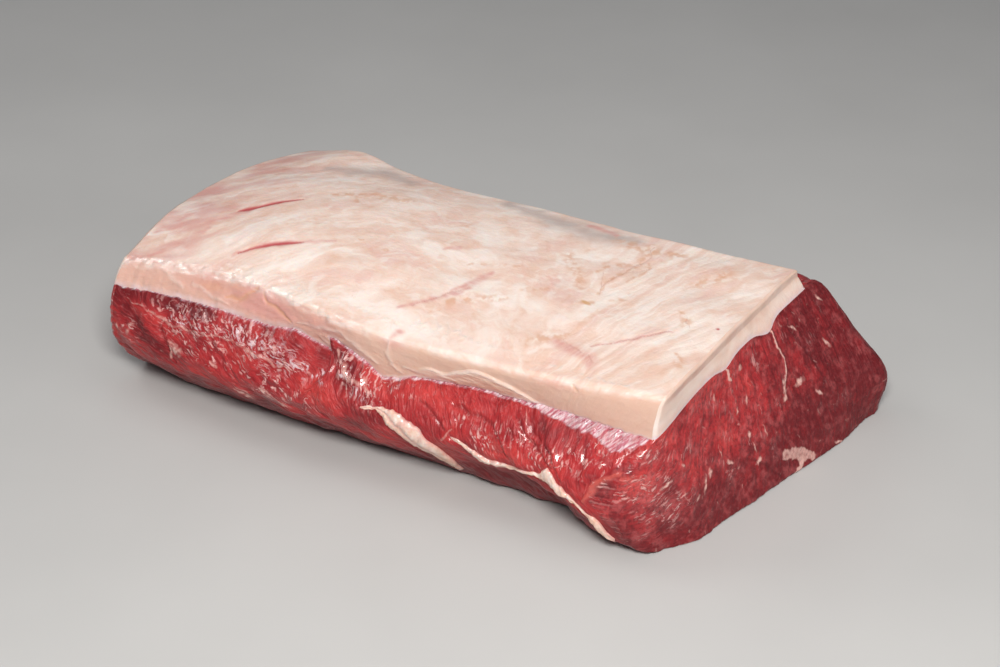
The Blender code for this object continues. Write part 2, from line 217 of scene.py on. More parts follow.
# ---- marks on the front side of the lean: paths of (x, z, half width) ----
CREASES = (
    ((-175, 50, 0.8), (-167, 42, 1.3), (-161, 33, 0.8)),
    ((16, 56, 0.9), (29, 55.5, 1.7), (40, 53, 1.3), (47, 49, 0.8), (50, 41, 0.5)),
    ((58, 64, 0.7), (63, 58, 1.1), (68, 52, 0.9), (70, 48, 0.5)),
    ((52, 59, 0.5), (62, 52, 0.8), (73, 46, 0.8), (81, 44, 0.4)),
    ((74, 52, 0.5), (83, 43, 1.0), (89, 35, 0.6)),
    ((-2, 55, 0.6), (8, 50, 0.9), (15, 44, 0.6)),
    ((-138, 52, 0.5), (-128, 46, 0.8), (-121, 38, 0.5)),
)
STRANDS = (
    ((-203, 57, 0.3), (-182, 55, 0.7), (-164, 52.5, 0.9), (-145, 54, 0.5), (-129, 55, 0.6), (-115, 54, 0.9)),
    ((-115, 54, 0.9), (-100, 52.5, 1.1), (-88, 51.5, 0.8), (-77, 51, 0.4)),
    ((-117, 35, 0.5), (-112, 29, 1.1), (-108, 23, 0.6)),
    ((-94, 38, 0.6), (-89, 34, 0.9), (-80, 27, 0.4)),
    ((-59, 65, 0.5), (-55, 62, 0.8), (-51, 59, 0.5)),
    ((-50, 57.5, 0.8), (-43, 55, 1.5), (-36, 52.5, 1.3), (-31, 50.5, 0.5)),
    ((14.5, 38.5, 0.8), (17, 42, 0.7), (19.5, 45.5, 0.4)),
    ((56, 62, 0.3), (60, 57, 0.5), (65, 51, 0.3)),
)
HATCHED = (
    ((-133, 60, 2.5), (-120, 58.5, 4.4), (-106, 56.5, 5.4), (-90, 54.5, 5.4), (-76, 53, 4.4), (-62, 52, 2.4)),
    ((-168, 55, 1.5), (-150, 55.5, 2.6), (-138, 58, 2.0)),
    ((-54, 58, 1.2), (-49, 55, 2.0), (-42, 51, 1.8), (-34, 47, 1.0)),
)
FRINGE = ((101.5, 33, 0.8), (103, 38, 1.6), (106, 43, 1.9), (110, 46, 1.7), (116, 48.5, 1.5), (120, 50, 0.8))
# bands of painted shade: along the lower edge of the fat at the left, by its notch, beside a crease, and low
# on the far left end
PAINTED_SHADE_BANDS = (
    ((-208, 61, 4.5), (-180, 61, 4.5), (-155, 61.5, 4), (-142, 61, 2)),
    ((-64, 66, 2), (-58, 64, 2.6), (-52, 62, 2.2), (-45, 60, 1.4)),
    ((66, 61, 2), (71, 56, 3), (74, 52, 2)),
    ((-200, 50, 5), (-187, 45, 5), (-172, 38, 4)),
)
# ---- and patches of (x, z, turn, half length, half width, strength) ----
BRIGHT = (
    (-113, 50.5, -6, 15, 4, 1.0),
    (-62, 46, -10, 20, 6, 0.7),
    (44, 44, -10, 12, 6, 1.0),
    (84, 46, -35, 12, 6, 0.9),
    (98, 40, -40, 12, 6, 0.9),
    (4, 58, 0, 20, 4, 0.5),
    (-30, 55, -15, 14, 4, 0.5),
    (-178, 52, -8, 14, 3, 0.5),
)
GLINTS = (
    (-99, 53.5, -6, 19, 2.6, 1.0),
    (-152, 57, 0, 26, 4.5, 0.9),
    (-118, 57, -6, 30, 5, 1.0),
    (-146, 49, -10, 22, 6, 0.75),
    (-196, 42, -20, 6, 4, 0.7),
    (-92, 41, -12, 26, 7, 0.6),
    (-48, 57, -50, 9, 3.4, 1.2),
    (-35, 53, -40, 10, 3.6, 1.1),
    (-20, 56, 0, 12, 3, 0.5),
    (37, 44, -30, 6, 5, 1.0),
    (28, 50, -20, 8, 4, 0.6),
    (48, 50, -20, 6, 4, 0.9),
    (62, 47, -28, 10, 3.6, 1.0),
    (87, 50, 4, 12, 3.6, 1.0),
    (102, 50, 0, 6, 4, 1.0),
    (99, 57, 0, 5, 3, 0.9),
)
# pale lumps of fat in the front side, and at the end four patches of painted highlight
LUMPS_AND_HIGHLIGHTS = (  # pale fat in the front side
    (-205, 40, 80, 4.5, 1.4, 1.0),
    (-196, 42, 60, 4.5, 1.6, 0.8),
    (-160, 42, -10, 6.0, 2.6, 1.2),
    (-163, 38, 60, 4.0, 1.6, 1.1),
    (-131, 42, -30, 3.5, 1.3, 0.7),
    (-115, 27, -45, 6.5, 1.7, 1.2),
    (-94, 36, -45, 6.0, 1.3, 1.0),
    (-87, 31, -45, 5.0, 1.4, 1.1),
    (-171, 38, -20, 4.0, 1.0, 0.5),
    (38, 28, 80, 2.6, 1.8, 0.9),
    # the last four paint broad highlights of the wet surface in the pale colour
    (-49, 57, -55, 5.0, 1.5, 0.8),
    (-37, 54, -45, 6.0, 1.4, 0.8),
    (-101, 57, -15, 5.0, 1.2, 0.6),
    (-88, 53.5, -20, 6.0, 1.1, 0.6),
)
CALM = (
    (-113, 50.5, -6, 14, 4, 1.0),
    (-62, 46, -10, 18, 6, 1.0),
    (8, 57, 0, 22, 4, 0.8),
    (88, 41, -40, 12, 6, 0.9),
    (45, 43, -10, 10, 4, 0.8),
)
SILVER_WIDTH = (  # x, how far the silverskin reaches down from the fat
    *((-212, 0.2), (-150, 0.6), (-128, 1.2), (-60, 1.2), (-30, 1.8), (0, 2.2), (40, 2.4), (56, 3), (65, 5)),
    *((74, 5.6), (83, 7.4), (92, 6.6), (98, 8.5), (108, 13), (113, 11.5), (118, 7), (124, 3.5), (132, 1.5)),
)
CUT_BORDER = (  # z, x: right of this line the front side is part of the cut
    *((8, 120), (18, 113), (27, 108), (34, 103), (38.5, 102.5), (46.5, 109), (52.5, 114), (56.5, 116.5)),
    *((60.5, 122), (66, 128)),
)

# ---- marks on the cut face: y, z, half length, half width, turn ----
FLECKS = (
    (-41, 30, 2.6, 1.6, 70),
    (-47, 26, 5.0, 1.0, 62),
    (-55, 22, 2.0, 1.2, 40),
    (-6, 35, 2.0, 1.3, 60),
    (-60, 44, 1.8, 0.9, 120),
    (-71, 37, 4.0, 0.9, 25),
    (-25, 28, 2.6, 1.0, -35),
    (-4, 19, 2.4, 1.3, 40),
    (55, 68, 3.4, 0.7, -40),
    (74, 52, 3.2, 1.2, -60),
    (87, 71, 2.8, 0.6, -55),
    (53, 33, 3.0, 0.9, -50),
    (56, 2, 3.2, 1.0, -20),
    (-22, 63, 2.6, 0.7, 80),
    (1, 52, 3.4, 0.6, 70),
    (-8, 49, 2.6, 0.6, 60),
    (4, 68, 2.0, 1.6, 0),
    (-30, 36, 3.8, 0.4, 95),
    (-5, 27, 3.4, 0.4, 100),
    (6, 32, 3.2, 0.5, 95),
    (32, 48, 2.2, 1.3, 20),
    (43, 43, 4.0, 1.6, 15),
    (28, 40, 2.4, 1.6, 30),
)
FAT_POCKET = (  # y, z, turn, half length, half width, strength
    (15, 13.4, 0, 3.4, 3.2, 1.0),
    (21, 11.4, -20, 4.4, 3.4, 1.0),
    (26, 8.4, -27, 6.0, 4.0, 1.0),
    (32, 5.0, -27, 4.6, 2.6, 0.9),
)
POCKET_CORE = ((15, 13.2, 0, 1.3, 1.0, 1.0), (25.5, 8.6, 0, 1.6, 0.8, 0.7), (20.5, 13, 60, 1.6, 0.5, 0.6))
POCKET_TAIL = ((25, 5, 1.6), (23, 2.6, 1.3), (18.5, 1, 1.0))
CLEAVAGE = (
    *((38, 76, 0.6), (38, 70, 0.7), (38, 64, 0.9), (39, 58, 0.7), (37, 52, 0.7), (33, 47, 0.9)),
    (30, 43, 1.2),
)
SHORT_SEAM = ((-8, 74, 0.9), (-7, 69, 0.8), (-6, 65, 0.6))
CUT_GROOVES = (
    ((-30, 74, 0.5), (-34, 60, 0.9), (-44, 44, 0.6)),
    ((12, 62, 0.4), (9, 48, 0.8), (2, 34, 0.5)),
    ((52, 70, 0.5), (58, 52, 0.8), (60, 36, 0.6)),
    ((-12, 24, 0.5), (0, 14, 0.8), (8, 4, 0.6)),
)

# ---- and as (y, z, turn, half length, half width, strength) ----
CUT_FRINGE = (-90, 48, 10, 5, 2.2, 0.7)  # torn edge at the front
CUT_GLINTS = ((-84, 38, 20, 14, 12, 1.0), (-72, 24, 10, 14, 8, 0.9), (-80, 56, 30, 12, 6, 0.8))

# ---- marks on the top of the fat: paths of (x, y, half width) ----
GASHES = (
    (
        *((-169, -7.5, 0.8), (-164.5, -4, 2.8), (-160, -0.5, 1.7), (-151, 7, 1.9), (-144, 12.5, 1.1)),
        (-139, 16, 0.5),
    ),
    ((-146, -42.7, 0.5), (-139, -37.7, 1.0), (-128, -31.3, 1.8), (-122.5, -28.8, 1.8), (-113, -25, 0.5)),
)
BLUSHES = (
    ((-199, -57, 2), (-190, -49, 3), (-183, -39, 3.5), (-177, -28, 2)),
    ((-182, -28, 3), (-172, -16, 3.5), (-163, -5, 2)),
    ((-206, -36, 3), (-199, -22, 4), (-190, -6, 4)),
    ((-168, -6, 1.6), (-152, 7, 2.2), (-140, 15, 1.2)),
    ((-148, -44, 1.2), (-128, -31, 2.4), (-104, -21, 1.6), (-96, -17, 1)),
    ((-34, -54, 1), (-22, -43, 1.8), (-11, -30, 2.0), (-7, -22, 1.6)),
    ((-14, -30, 1.5), (-8, -18, 2.4), (-4, -4, 2.0)),
    ((76, -41, 0.9), (86, -33.5, 1.2), (98, -22, 1.0), (108, -12, 0.8)),
    ((56, -45, 3), (68, -49, 4), (80, -52, 4), (84, -58, 3)),
    ((-38, 6, 1.2), (-34, 9, 2.0), (-31, 11, 1.2)),
    ((18, 75, 2), (28, 74, 2.5), (38, 72, 2)),
    ((-26, -74, 1.5), (-23, -70, 2)),
)
TANS = (
    ((50, -9, 1.5), (55, -6, 3.0), (60, -4, 1.5)),
    ((66, 4, 1.5), (71, 6, 2.2)),
    ((20, -10, 2), (26, -6, 3), (33, -3, 2)),
    ((104, 8, 2), (109, 5, 4), (113, -2, 3)),
    ((40, 66, 4), (58, 62, 7), (80, 66, 5)),
    ((24, 36, 4), (38, 20, 5), (46, 8, 3)),
    ((100, 40, 4), (112, 56, 5)),
    ((-14, -40, 3), (0, -30, 5), (14, -22, 3)),
    ((44, -52, 4), (52, -44, 6), (60, -38, 3)),
    ((-126, 30, 3), (-104, 40, 5), (-84, 44, 4)),
    ((58, 6, 1.2), (57, 20, 2.0), (60, 33, 2.0), (64, 46, 2.4), (62, 60, 2.6), (60, 69, 2)),
    ((66, 24, 1.0), (70, 40, 1.6), (68, 50, 1.4)),
    ((46, 24, 2), (50, 38, 3), (60, 44, 2)),
    ((118, -30, 1.4), (122, -33, 2.2), (126, -42, 2)),
    ((-89, -12, 0.6), (-86, -10, 1.4), (-83, -9, 0.7)),
    ((-68, -13, 0.8), (-65.5, -12.3, 1.6), (-62, -12, 0.8)),
    ((-62, -55, 1.2), (-58, -54, 1.6)),
    ((-116, 34, 1.5), (-110, 29, 3), (-104, 26, 1.5)),
    ((-20, -2, 1), (-6, 6, 1.6), (10, 10, 1)),
)
VEINS = (
    (
        *((59, 5, 0.3), (56, 14, 0.5), (57.5, 21, 0.6), (61, 32, 0.5), (60.5, 40, 0.6), (66, 52, 0.6)),
        (63, 68, 0.4),
    ),
    ((61, 32, 0.4), (67, 39, 0.5), (71, 45, 0.3)),
    ((56, 14, 0.3), (52, 20, 0.4), (50, 28, 0.3)),
    ((76, -41, 0.3), (86, -33.5, 0.5), (98, -22, 0.4), (108, -11, 0.3)),
    ((109, 7, 0.3), (112, 0, 0.5), (116, -4, 0.3)),
    ((60, -42, 0.3), (68, -47, 0.5), (78, -49, 0.4), (84, -55, 0.5)),
    ((-28, -50, 0.3), (-18, -38, 0.5), (-8, -23, 0.4)),
)
# greyer patches along the back of the top: painted shade
GREY_BACK_SHADES = (
    ((-152, 64, 4), (-137, 68, 8), (-121, 78, 9), (-100, 74, 6)),
    ((-36, 78, 5), (-14, 74, 8), (2, 69, 11), (28, 66, 11), (50, 70, 6)),
)
# the first seven paths run along the crease and paint its highlight; the last four are pale patches on the
# top
WHITES_AND_HIGHLIGHTS = (
    ((-146, -51, 1.5), (-138, -52, 3.4), (-128, -52.5, 2.4)),
    ((-128, -52.5, 2), (-112, -52.5, 1.7), (-99, -56, 2.7), (-79, -59, 2)),
    ((-74, -60, 1.4), (-56, -61.5, 2.7), (-40, -62.5, 1.7), (-26, -66, 2.4)),
    ((-20, -62, 5.1), (-6, -61, 7.6), (8, -61, 5.1)),
    ((8, -62, 2), (30, -63.5, 1.5), (52, -65, 1.2), (70, -65, 1.4)),
    ((76, -66, 1), (100, -68, 1.5), (122, -69, 1)),
    ((-192, -58, 1.4), (-185, -59, 2)),
    ((20, 4, 6), (34, 10, 8), (46, 2, 6)),
    ((66, -14, 6), (84, -10, 8)),
    ((-64, 20, 8), (-40, 34, 9), (-24, 30, 8)),
    ((-130, -8, 8), (-112, -2, 8)),
)
SPOTS = ((129.5, 0.7, 1.0),)  # x, y, radius: blood
STAIN = (55.5, -5.6, -20, 4.0, 1.7, 1.3)  # orange-brown stain

# ---- marks on the front of the fat: paths of (x, z, half width) ----
CLEFTS = (
    ((-139, 70.5, 0.5), (-131, 71.5, 1.1), (-123, 75.5, 1.3), (-119.5, 79, 0.6)),
    ((-115, 78, 0.5), (-110, 74, 1.0), (-98, 72, 1.0), (-92, 69.5, 0.5)),
    ((80, 85.5, 0.3), (82, 83.5, 0.6), (85, 81, 0.4)),
)
# the folds are raised in the relief; the whitening of their ridges is painted highlight
FOLDS = (
    ((-186, 74, 0.8), (-177, 71, 1.4), (-168, 68.5, 1.2)),
    ((-163, 71.5, 0.8), (-155, 70, 1.2), (-146, 68.5, 1.0), (-136, 67.5, 0.6)),
    ((-88, 70.5, 1.0), (-76, 72, 1.8), (-60, 75, 1.6), (-50, 72, 2.2), (-43, 68, 2.0), (-34, 64, 1.2)),
    ((-72, 67, 1.4), (-66, 63, 1.4), (-60, 60, 1.0)),
    ((-26, 80, 0.8), (-27, 72, 1.4), (-24, 66, 1.6), (-19, 62, 1.2)),
    ((-17, 66, 1.2), (-6, 66, 1.6), (6, 66.5, 1.6), (14, 67, 1.0)),
)
LIP_FOLD = (  # x, z of the line from which the lip curls out
    *((-20, 62), (-6, 66), (6, 70.5), (14, 69.5), (22, 73), (31, 77), (45, 75), (58, 70.5)),
    *((69, 65.5), (80, 63)),
)
PINK_FRONT = (
    (-112, 73, 0, 24, 6, 1.0),
    (-150, 73, 0, 16, 4, 0.5),
    (-24, 80, 0, 8, 4, 0.6),
    (70, 82, 0, 12, 3, 0.35),
    (-75, 74, 0, 14, 5, 0.45),
)
TAN_FRONT = ((-150, 72.5, 4, 12, 2.4, 0.7), (-127, 72.5, 20, 7, 2.0, 0.8), (-133, 76, 0, 8, 2, 0.4))

# ---- the stage, in metres ----
LIGHT_AIM = (0.01, 0.0, 0.05)
LIGHTS = {  # place, size and colour; the power of each is a setting
    "key": ((0.42, -0.72, 0.85), (0.36, 0.26), (1.0, 0.98, 0.95)),
    "top": ((0.0, 0.30, 1.25), (1.0, 0.7), (1.0, 0.99, 0.97)),
    "side": ((1.15, -0.15, 0.55), (0.7, 0.7), (1.0, 0.99, 0.97)),
    "left": ((-0.75, -0.10, 1.0), (0.45, 0.35), (1.0, 0.99, 0.97)),
}
ROOM_COLOR = (0.92, 0.94, 1.0, 1)
FLOOR_RADIUS = 4.0
FLOOR_CORNERS = 64
CAMERA_AIM_Z = 0.05
SENSOR_WIDTH = 36.0  # millimetres


# ---- numbers and curves ----
def along(curve, x):
    """Smooth curve through (place, size) pairs: cubic Hermite spans, each slope the mean of its two
    neighbouring rises, weighted by the other span. Places and sizes may be arrays."""
    places = [np.asarray(p, float) for p, _ in curve]
    sizes = [np.asarray(v, float) for _, v in curve]
    spans = [b - a for a, b in zip(places, places[1:])]
    rises = [(b - a) / h for a, b, h in zip(sizes, sizes[1:], spans)]
    inner = [(r1 * h0 + r0 * h1) / (h0 + h1) for r0, r1, h0, h1 in zip(rises, rises[1:], spans, spans[1:])]
    slopes = [rises[0], *inner, rises[-1]]
    x = np.clip(x, places[0], places[-1])
    out = 0.0
    for i, h in enumerate(spans):
        u = (x - places[i]) / h
        start = (2 * u**3 - 3 * u**2 + 1) * sizes[i] + (u**3 - 2 * u**2 + u) * h * slopes[i]
        stop = (3 * u**2 - 2 * u**3) * sizes[i + 1] + (u**3 - u**2) * h * slopes[i + 1]
        out = np.where(x >= places[i], start + stop, out)
    return out


def straight(curve, x):
    """Straight lines through (place, size) pairs."""
    places, sizes = zip(*curve)
    return np.interp(x, places, sizes)


def through(knots, u):
    """Catmull-Rom curve through (y, z) knots, read at u, which counts the knots from 0."""
    p = np.stack([np.stack(np.broadcast_arrays(y, z), -1) for y, z in knots])[:, :, 0]
    p = np.concatenate([2 * p[:1] - p[1:2], p, 2 * p[-1:] - p[-2:-1]])
    i = np.minimum(u.astype(int), len(knots) - 2)
    f = (u - i)[:, None, None]
    a, b, c, d = p[i], p[i + 1], p[i + 2], p[i + 3]
    bend = (2 * a - 5 * b + 4 * c - d) * f**2 + (3 * b - a - 3 * c + d) * f**3
    out = 0.5 * (2 * b + (c - a) * f + bend)
    return out[..., 0].T, out[..., 1].T


def unit(value):
    """Held between 0 and 1."""
    return np.clip(value, 0, 1)


def highest(*values):
    """The largest of several numbers, point by point."""
    return np.max(np.broadcast_arrays(*values), axis=0)


def rise(value, low, high):
    """0 below low, 1 above high, a smooth step between."""
    t = unit((value - low) / (high - low))
    return t * t * (3 - 2 * t)


def hump(value, centre, half_width):
    """Bell of height 1."""
    return np.exp(-(((value - centre) / half_width) ** 2))


def mound(u, v, centre_u, centre_v, turn, half_length, half_width, height):
    """Long bell turned by `turn` degrees in the (u, v) plane."""
    c, s = np.cos(np.radians(turn)), np.sin(np.radians(turn))
    a = (u - centre_u) * c + (v - centre_v) * s
    b = (v - centre_v) * c - (u - centre_u) * s
    return height * np.exp(-((a / half_length) ** 2) - (b / half_width) ** 2)


def patches(u, v, marks):
    """The highest of several mounds."""
    return highest(*(mound(u, v, *mark) for mark in marks))


def cell_number(i, j, seed):
    """Repeatable random number, 0 to 1, for each whole-number cell (i, j)."""
    n = (i * 374761393 + j * 668265263 + seed * 974634777) & 0xFFFFFFFF
    n = ((n ^ (n >> 13)) * 1274126177) & 0xFFFFFFFF
    return ((n ^ (n >> 16)) & 0xFFFF) / 0xFFFF


def waves(x, y, seed):
    """Smooth random waves, -1 to 1, one cell to a unit: a random slope at each corner, blended across it."""
    x, y = np.broadcast_arrays(x, y)
    i = np.floor(x).astype(np.int64)
    j = np.floor(y).astype(np.int64)
    u = x - i
    v = y - j
    total = 0.0
    for di in (0, 1):
        for dj in (0, 1):
            turn = 2 * np.pi * cell_number(i + di, j + dj, seed)
            weight = rise(1 - np.abs(u - di), 0, 1) * rise(1 - np.abs(v - dj), 0, 1)
            total = total + weight * (np.cos(turn) * (u - di) + np.sin(turn) * (v - dj))
    return np.clip(1.5 * total, -1, 1)


def ripples(x, y, *rows):
    """Sum of waves: each row holds their height, length along x, length along y and seed."""
    return sum(height * waves(x / long, y / wide, seed) for height, long, wide, seed in rows)


def layered(x, y, seed, layers=3):
    """Waves on waves: each layer half as wide and half as high as the one before."""
    return sum(waves(x * 2**k, y * 2**k, seed + k) / 2**k for k in range(layers))


def threads(x, y, seed, sharp):
    """Thin lines, 0 to 1, where random waves cross zero."""
    return (1 - np.abs(waves(x, y, seed))) ** sharp


def streak(a, b, path):
    """How near each point is to a line through (a, b, half width) points: 1 on it, falling as a bell."""
    near = np.zeros(np.broadcast(a, b).shape)
    for (a0, b0, w0), (a1, b1, w1) in zip(path, path[1:]):
        da = a1 - a0
        db = b1 - b0
        t = unit(((a - a0) * da + (b - b0) * db) / (da * da + db * db))
        gap = np.hypot(a - a0 - t * da, b - b0 - t * db)
        near = np.maximum(near, hump(gap, 0, w0 + t * (w1 - w0)))
    return near


def streaks(a, b, paths):
    """The nearest of several streaks."""
    return highest(*(streak(a, b, path) for path in paths))


def flow(u, v, angles):
    """Across and along a field of lines in the (u, v) plane, whose angle in degrees depends on u alone: the
    lines are v = the running sum of the slope over u, plus a constant."""
    table = np.linspace(*FLOW_TABLE)
    gap = table[1] - table[0]
    turn = np.radians(along(angles, table))
    climb = np.interp(u, table, np.cumsum(np.tan(turn)) * gap)
    length = np.interp(u, table, np.cumsum(1 / np.cos(turn)) * gap)
    return (v - climb) * np.cos(np.radians(along(angles, u))), length + 0 * v


# ---- the sections of the meat ----
def sizes_at(section):
    """All sizes of the cross-sections, as arrays as tall as `section`, with the ragged edge of the fat."""
    s = {name: along(curve, section) for name, curve in CURVES.items()}
    s["rim_z"] = s["rim_z"] + ripples(section, 0 * section, *RAGGED_RIM)
    s["section"] = section
    return s


def top_height(s, y):
    """Top of the fat across the sections."""
    cy, cz, by, bz, top = (s[name] for name in ("crease_y", "crease_z", "back_y", "back_z", "crown_z"))
    front_shoulder = (0.5 * cy, cz + 0.75 * (top - cz))
    back_shoulder = (0.55 * by, bz + 0.8 * (top - bz))
    return along(((cy, cz), front_shoulder, (0, top), back_shoulder, (by, bz)), y)


def join_height(s, y):
    """Where fat meets lean: the top less the thickness of the cap."""
    across = unit((y - s["rim_y"]) / (s["back_y"] - s["rim_y"]))
    front = top_height(s, s["rim_y"]) - s["rim_z"]
    thick = CAP_MIDDLE + (front - CAP_MIDDLE) * np.exp(-CAP_FRONT_FADE * across)
    thick = thick + (CAP_BACK - CAP_MIDDLE) * across**3
    fade = unit((s["section"] - SEAM_DIPS_FROM) / (LAST - SEAM_DIPS_FROM))
    for centre, half_width, depth in SEAM_DIPS:
        thick = thick + depth * fade * hump(y, centre, half_width)
    return top_height(s, y) - thick


def right_end(y, z):
    """The right cut, x over (y, z): a twisted face whose foot stands out."""
    yc = np.clip(y, END_Y[0], END_Y[-1])
    down = unit((FLARE_TOP - z) / FLARE_TOP)
    bend = 1.2 * unit((yc - TWIST_FROM) / TWIST_SPAN)
    flare = np.interp(yc, END_Y, END_FLARE) * down * (1 + 0.5 * (1 - down) * bend)
    x = RIGHT_X + RIGHT_SKEW * (yc - RIGHT_Y) + flare
    for cy, half_y, cz, half_z, height in CUT_SWELLS:
        x = x + height * hump(y, cy, half_y) * hump(z, cz, half_z)
    x = x + np.interp(yc, CAP_Y, CAP_OUT) * rise(z, *CAP_OUT_Z)
    for (start, share), before in ((ROUND_FRONT, -1), (ROUND_BACK, 1)):
        x = x - share * np.clip(before * (y - start), 0, None) ** 2
    return x


def left_end(y, z):
    """The left cut, x over (y, z): rounded away toward the back."""
    start, skew, bend = LEFT_BACK
    way = np.clip(y - start, 0, None)
    top, slope = LEFT_FOOT
    return LEFT_X + skew * way + bend * way**3 + slope * np.clip(top - z, 0, None)


def place(section, y, z, tuck):
    """x of a ring point: the sections fan out between the two cut faces, each stopping `tuck` short of them,
    and the tongue of fat hangs over to the right."""
    t = (section - FIRST) / (LAST - FIRST)
    x = (1 - t) * (left_end(y, z) + tuck) + t * (right_end(y, z) - tuck)
    below = np.clip(TONGUE_TOP - z, 0, None)
    return x + TONGUE_LEAN * below * hump(below, 0, 15) * hump(section, -68, 15) * rise(-y, 40, 60)


def front_relief(section, z):
    """Folds of the front side, outward."""
    slant = section + FOLD_SLANT * z
    height = FOLD_HEIGHT * np.sin(slant / 4.6 + 0.9 * np.sin(section / 33)) * np.sin(slant / 29 + 1.0)
    return height + sum(mound(section, z, *mark) for mark in FRONT_MOUNDS)


def front_side(s, columns):
    """y and z down the front side of the lean, from the rim of the fat to the foot."""
    shoulder_y = 0.6 * s["bulge_y"] + 0.4 * s["rim_y"]
    knots = (
        (s["rim_y"], s["rim_z"]),
        (shoulder_y, 0.5 * (s["rim_z"] + s["bulge_z"]) + 4),
        (s["bulge_y"], s["bulge_z"]),
        (s["ridge_y"], s["ridge_z"]),
        (s["foot_y"] - 8, 3),
        (s["foot_y"], 0),
    )
    y, z = through(knots, np.interp(columns, FRONT_SHARES, np.arange(len(knots))))
    fade = unit((s["rim_z"] - z) / 12) * unit(z / 12)
    return y - front_relief(s["section"], z) * fade, z


def back_side(s, columns):
    """y and z up the back side of the lean, from the heel to the back edge of the fat."""
    edge = join_height(s, s["back_y"])
    knots = (
        (s["heel_y"], 0),
        (s["heel_y"] + 10, 6),
        (s["hip_y"], HIP_Z - 8),
        (s["hip_y"] - 2, HIP_Z + 14),
        (s["shelf_y"], edge - 3),
        (s["back_y"], edge),
    )
    return through(knots, np.interp(columns, BACK_SHARES, np.arange(len(knots))))


def steps(count):
    """`count` shares from 0 up to, and without, 1."""
    return np.linspace(0, 1, count, endpoint=False)


def grid_normals(p, wrap):
    """Unit normals of a grid of points: the step along the columns crossed with the step along the rows."""
    side = (np.roll(p, -1, 1) - np.roll(p, 1, 1)) if wrap else np.gradient(p, axis=1)
    n = np.cross(side, np.gradient(p, axis=0))
    return n / np.maximum(np.linalg.norm(n, axis=-1, keepdims=True), 1e-9)


def raised(p, height, section, tuck):
    """Grid raised along its normals; close to both ends the points keep to the cut faces."""
    n = grid_normals(p, True)
    y = p[..., 1] + height * n[..., 1]
    z = np.maximum(p[..., 2] + height * n[..., 2], 0)
    inner = rise(LAST - section, 0, 6) * rise(section - FIRST, 0, 6)
    return np.stack([place(section, y, z, tuck) + inner * height * n[..., 0], y, z], -1)


def run_length(p):
    """Length along the columns of a grid, from 0 at the first."""
    gaps = np.linalg.norm(np.diff(p, axis=1), axis=-1)
    return np.concatenate([np.zeros((len(p), 1)), np.cumsum(gaps, 1)], 1)


def run_height(p):
    """Length along the rows of a grid, from 0 at the first."""
    return run_length(p.transpose(1, 0, 2)).T


# ---- meshes ----
def new_piece(name, flat, quads, triangles, hidden):
    """Mesh object from points in millimetres, faces as index arrays, and one attribute for every other layer.
    The edges of hidden faces are sharp, so that the faces beside them keep their own normals."""
    mesh = bpy.data.meshes.new(name)
    co = (flat.pop("place") + (*CENTRE, 0)) * MM
    mesh.vertices.add(len(co))
    mesh.vertices.foreach_set("co", co.astype(np.float32).ravel())
    corners = np.concatenate([quads.ravel(), triangles.ravel()])
    starts = np.concatenate([np.arange(len(quads)) * 4, 4 * len(quads) + np.arange(len(triangles)) * 3])
    mesh.loops.add(len(corners))
    mesh.loops.foreach_set("vertex_index", corners.astype(np.int32))
    mesh.polygons.add(len(starts))
    mesh.polygons.foreach_set("loop_start", starts.astype(np.int32))
    mesh.update(calc_edges=True)
    for layer, values in flat.items():
        kind, field = ("FLOAT", "value") if values.shape[1] == 1 else ("FLOAT_VECTOR", "vector")
        attribute = mesh.attributes.new(layer, kind, "POINT")
        attribute.data.foreach_set(field, values.astype(np.float32).ravel())
    mesh.shade_smooth()
    edges = np.empty(len(corners), np.int32)
    mesh.loops.foreach_get("edge_index", edges)
    sharp = np.zeros(len(mesh.edges), bool)
    sharp[edges[: quads.size][np.repeat(hidden, 4)]] = True
    mesh.attributes.new("sharp_edge", "BOOLEAN", "EDGE").data.foreach_set("value", sharp)
    obj = bpy.data.objects.new(name, mesh)
    bpy.context.scene.collection.objects.link(obj)
    return obj


def as_columns(layers):
    """Layers of a grid, each with its numbers along a last axis."""
    return {k: v if v.ndim == 3 else v[..., None] for k, v in layers.items()}


def closed_tube(name, layers, lip=0.0):
    """Grid whose columns go round, closed at both ends by a fan to a middle point. With a lip, a last row
    lies `lip` further out and a share of it further in, and the middle points lie well inside."""
    layers = as_columns(layers)
    if lip:
        out = grid_normals(layers["place"], True)
        layers = {k: np.concatenate([v[:1], v, v[-1:]]) for k, v in layers.items()}
        for row, ahead in ((0, -1), (-1, 1)):
            layers["place"][row] += (ahead * lip, 0, 0) - LIP_TUCK * lip * out[row]
    rows, columns = layers["place"].shape[:2]
    flat = {}
    for k, v in layers.items():
        flat[k] = np.vstack([v.reshape(rows * columns, -1), v[0].mean(0), v[-1].mean(0)])
    flat["place"][-2, 0] += FAN_DEPTH * lip
    flat["place"][-1, 0] -= FAN_DEPTH * lip
    i = np.arange(rows - 1)[:, None] * columns
    j = np.arange(columns)
    n = (j + 1) % columns
    quads = np.stack([i + j, i + n, i + columns + n, i + columns + j], -1).reshape(-1, 4)
    last = (rows - 1) * columns
    first_fan = np.stack([n, j, np.full(columns, rows * columns)], -1)
    last_fan = np.stack([last + j, last + n, np.full(columns, rows * columns + 1)], -1)
    row = np.repeat(np.arange(rows - 1), columns)
    hidden = ((row == 0) | (row == rows - 2)) & (lip > 0)
    return new_piece(name, flat, quads, np.vstack([first_fan, last_fan]), hidden)


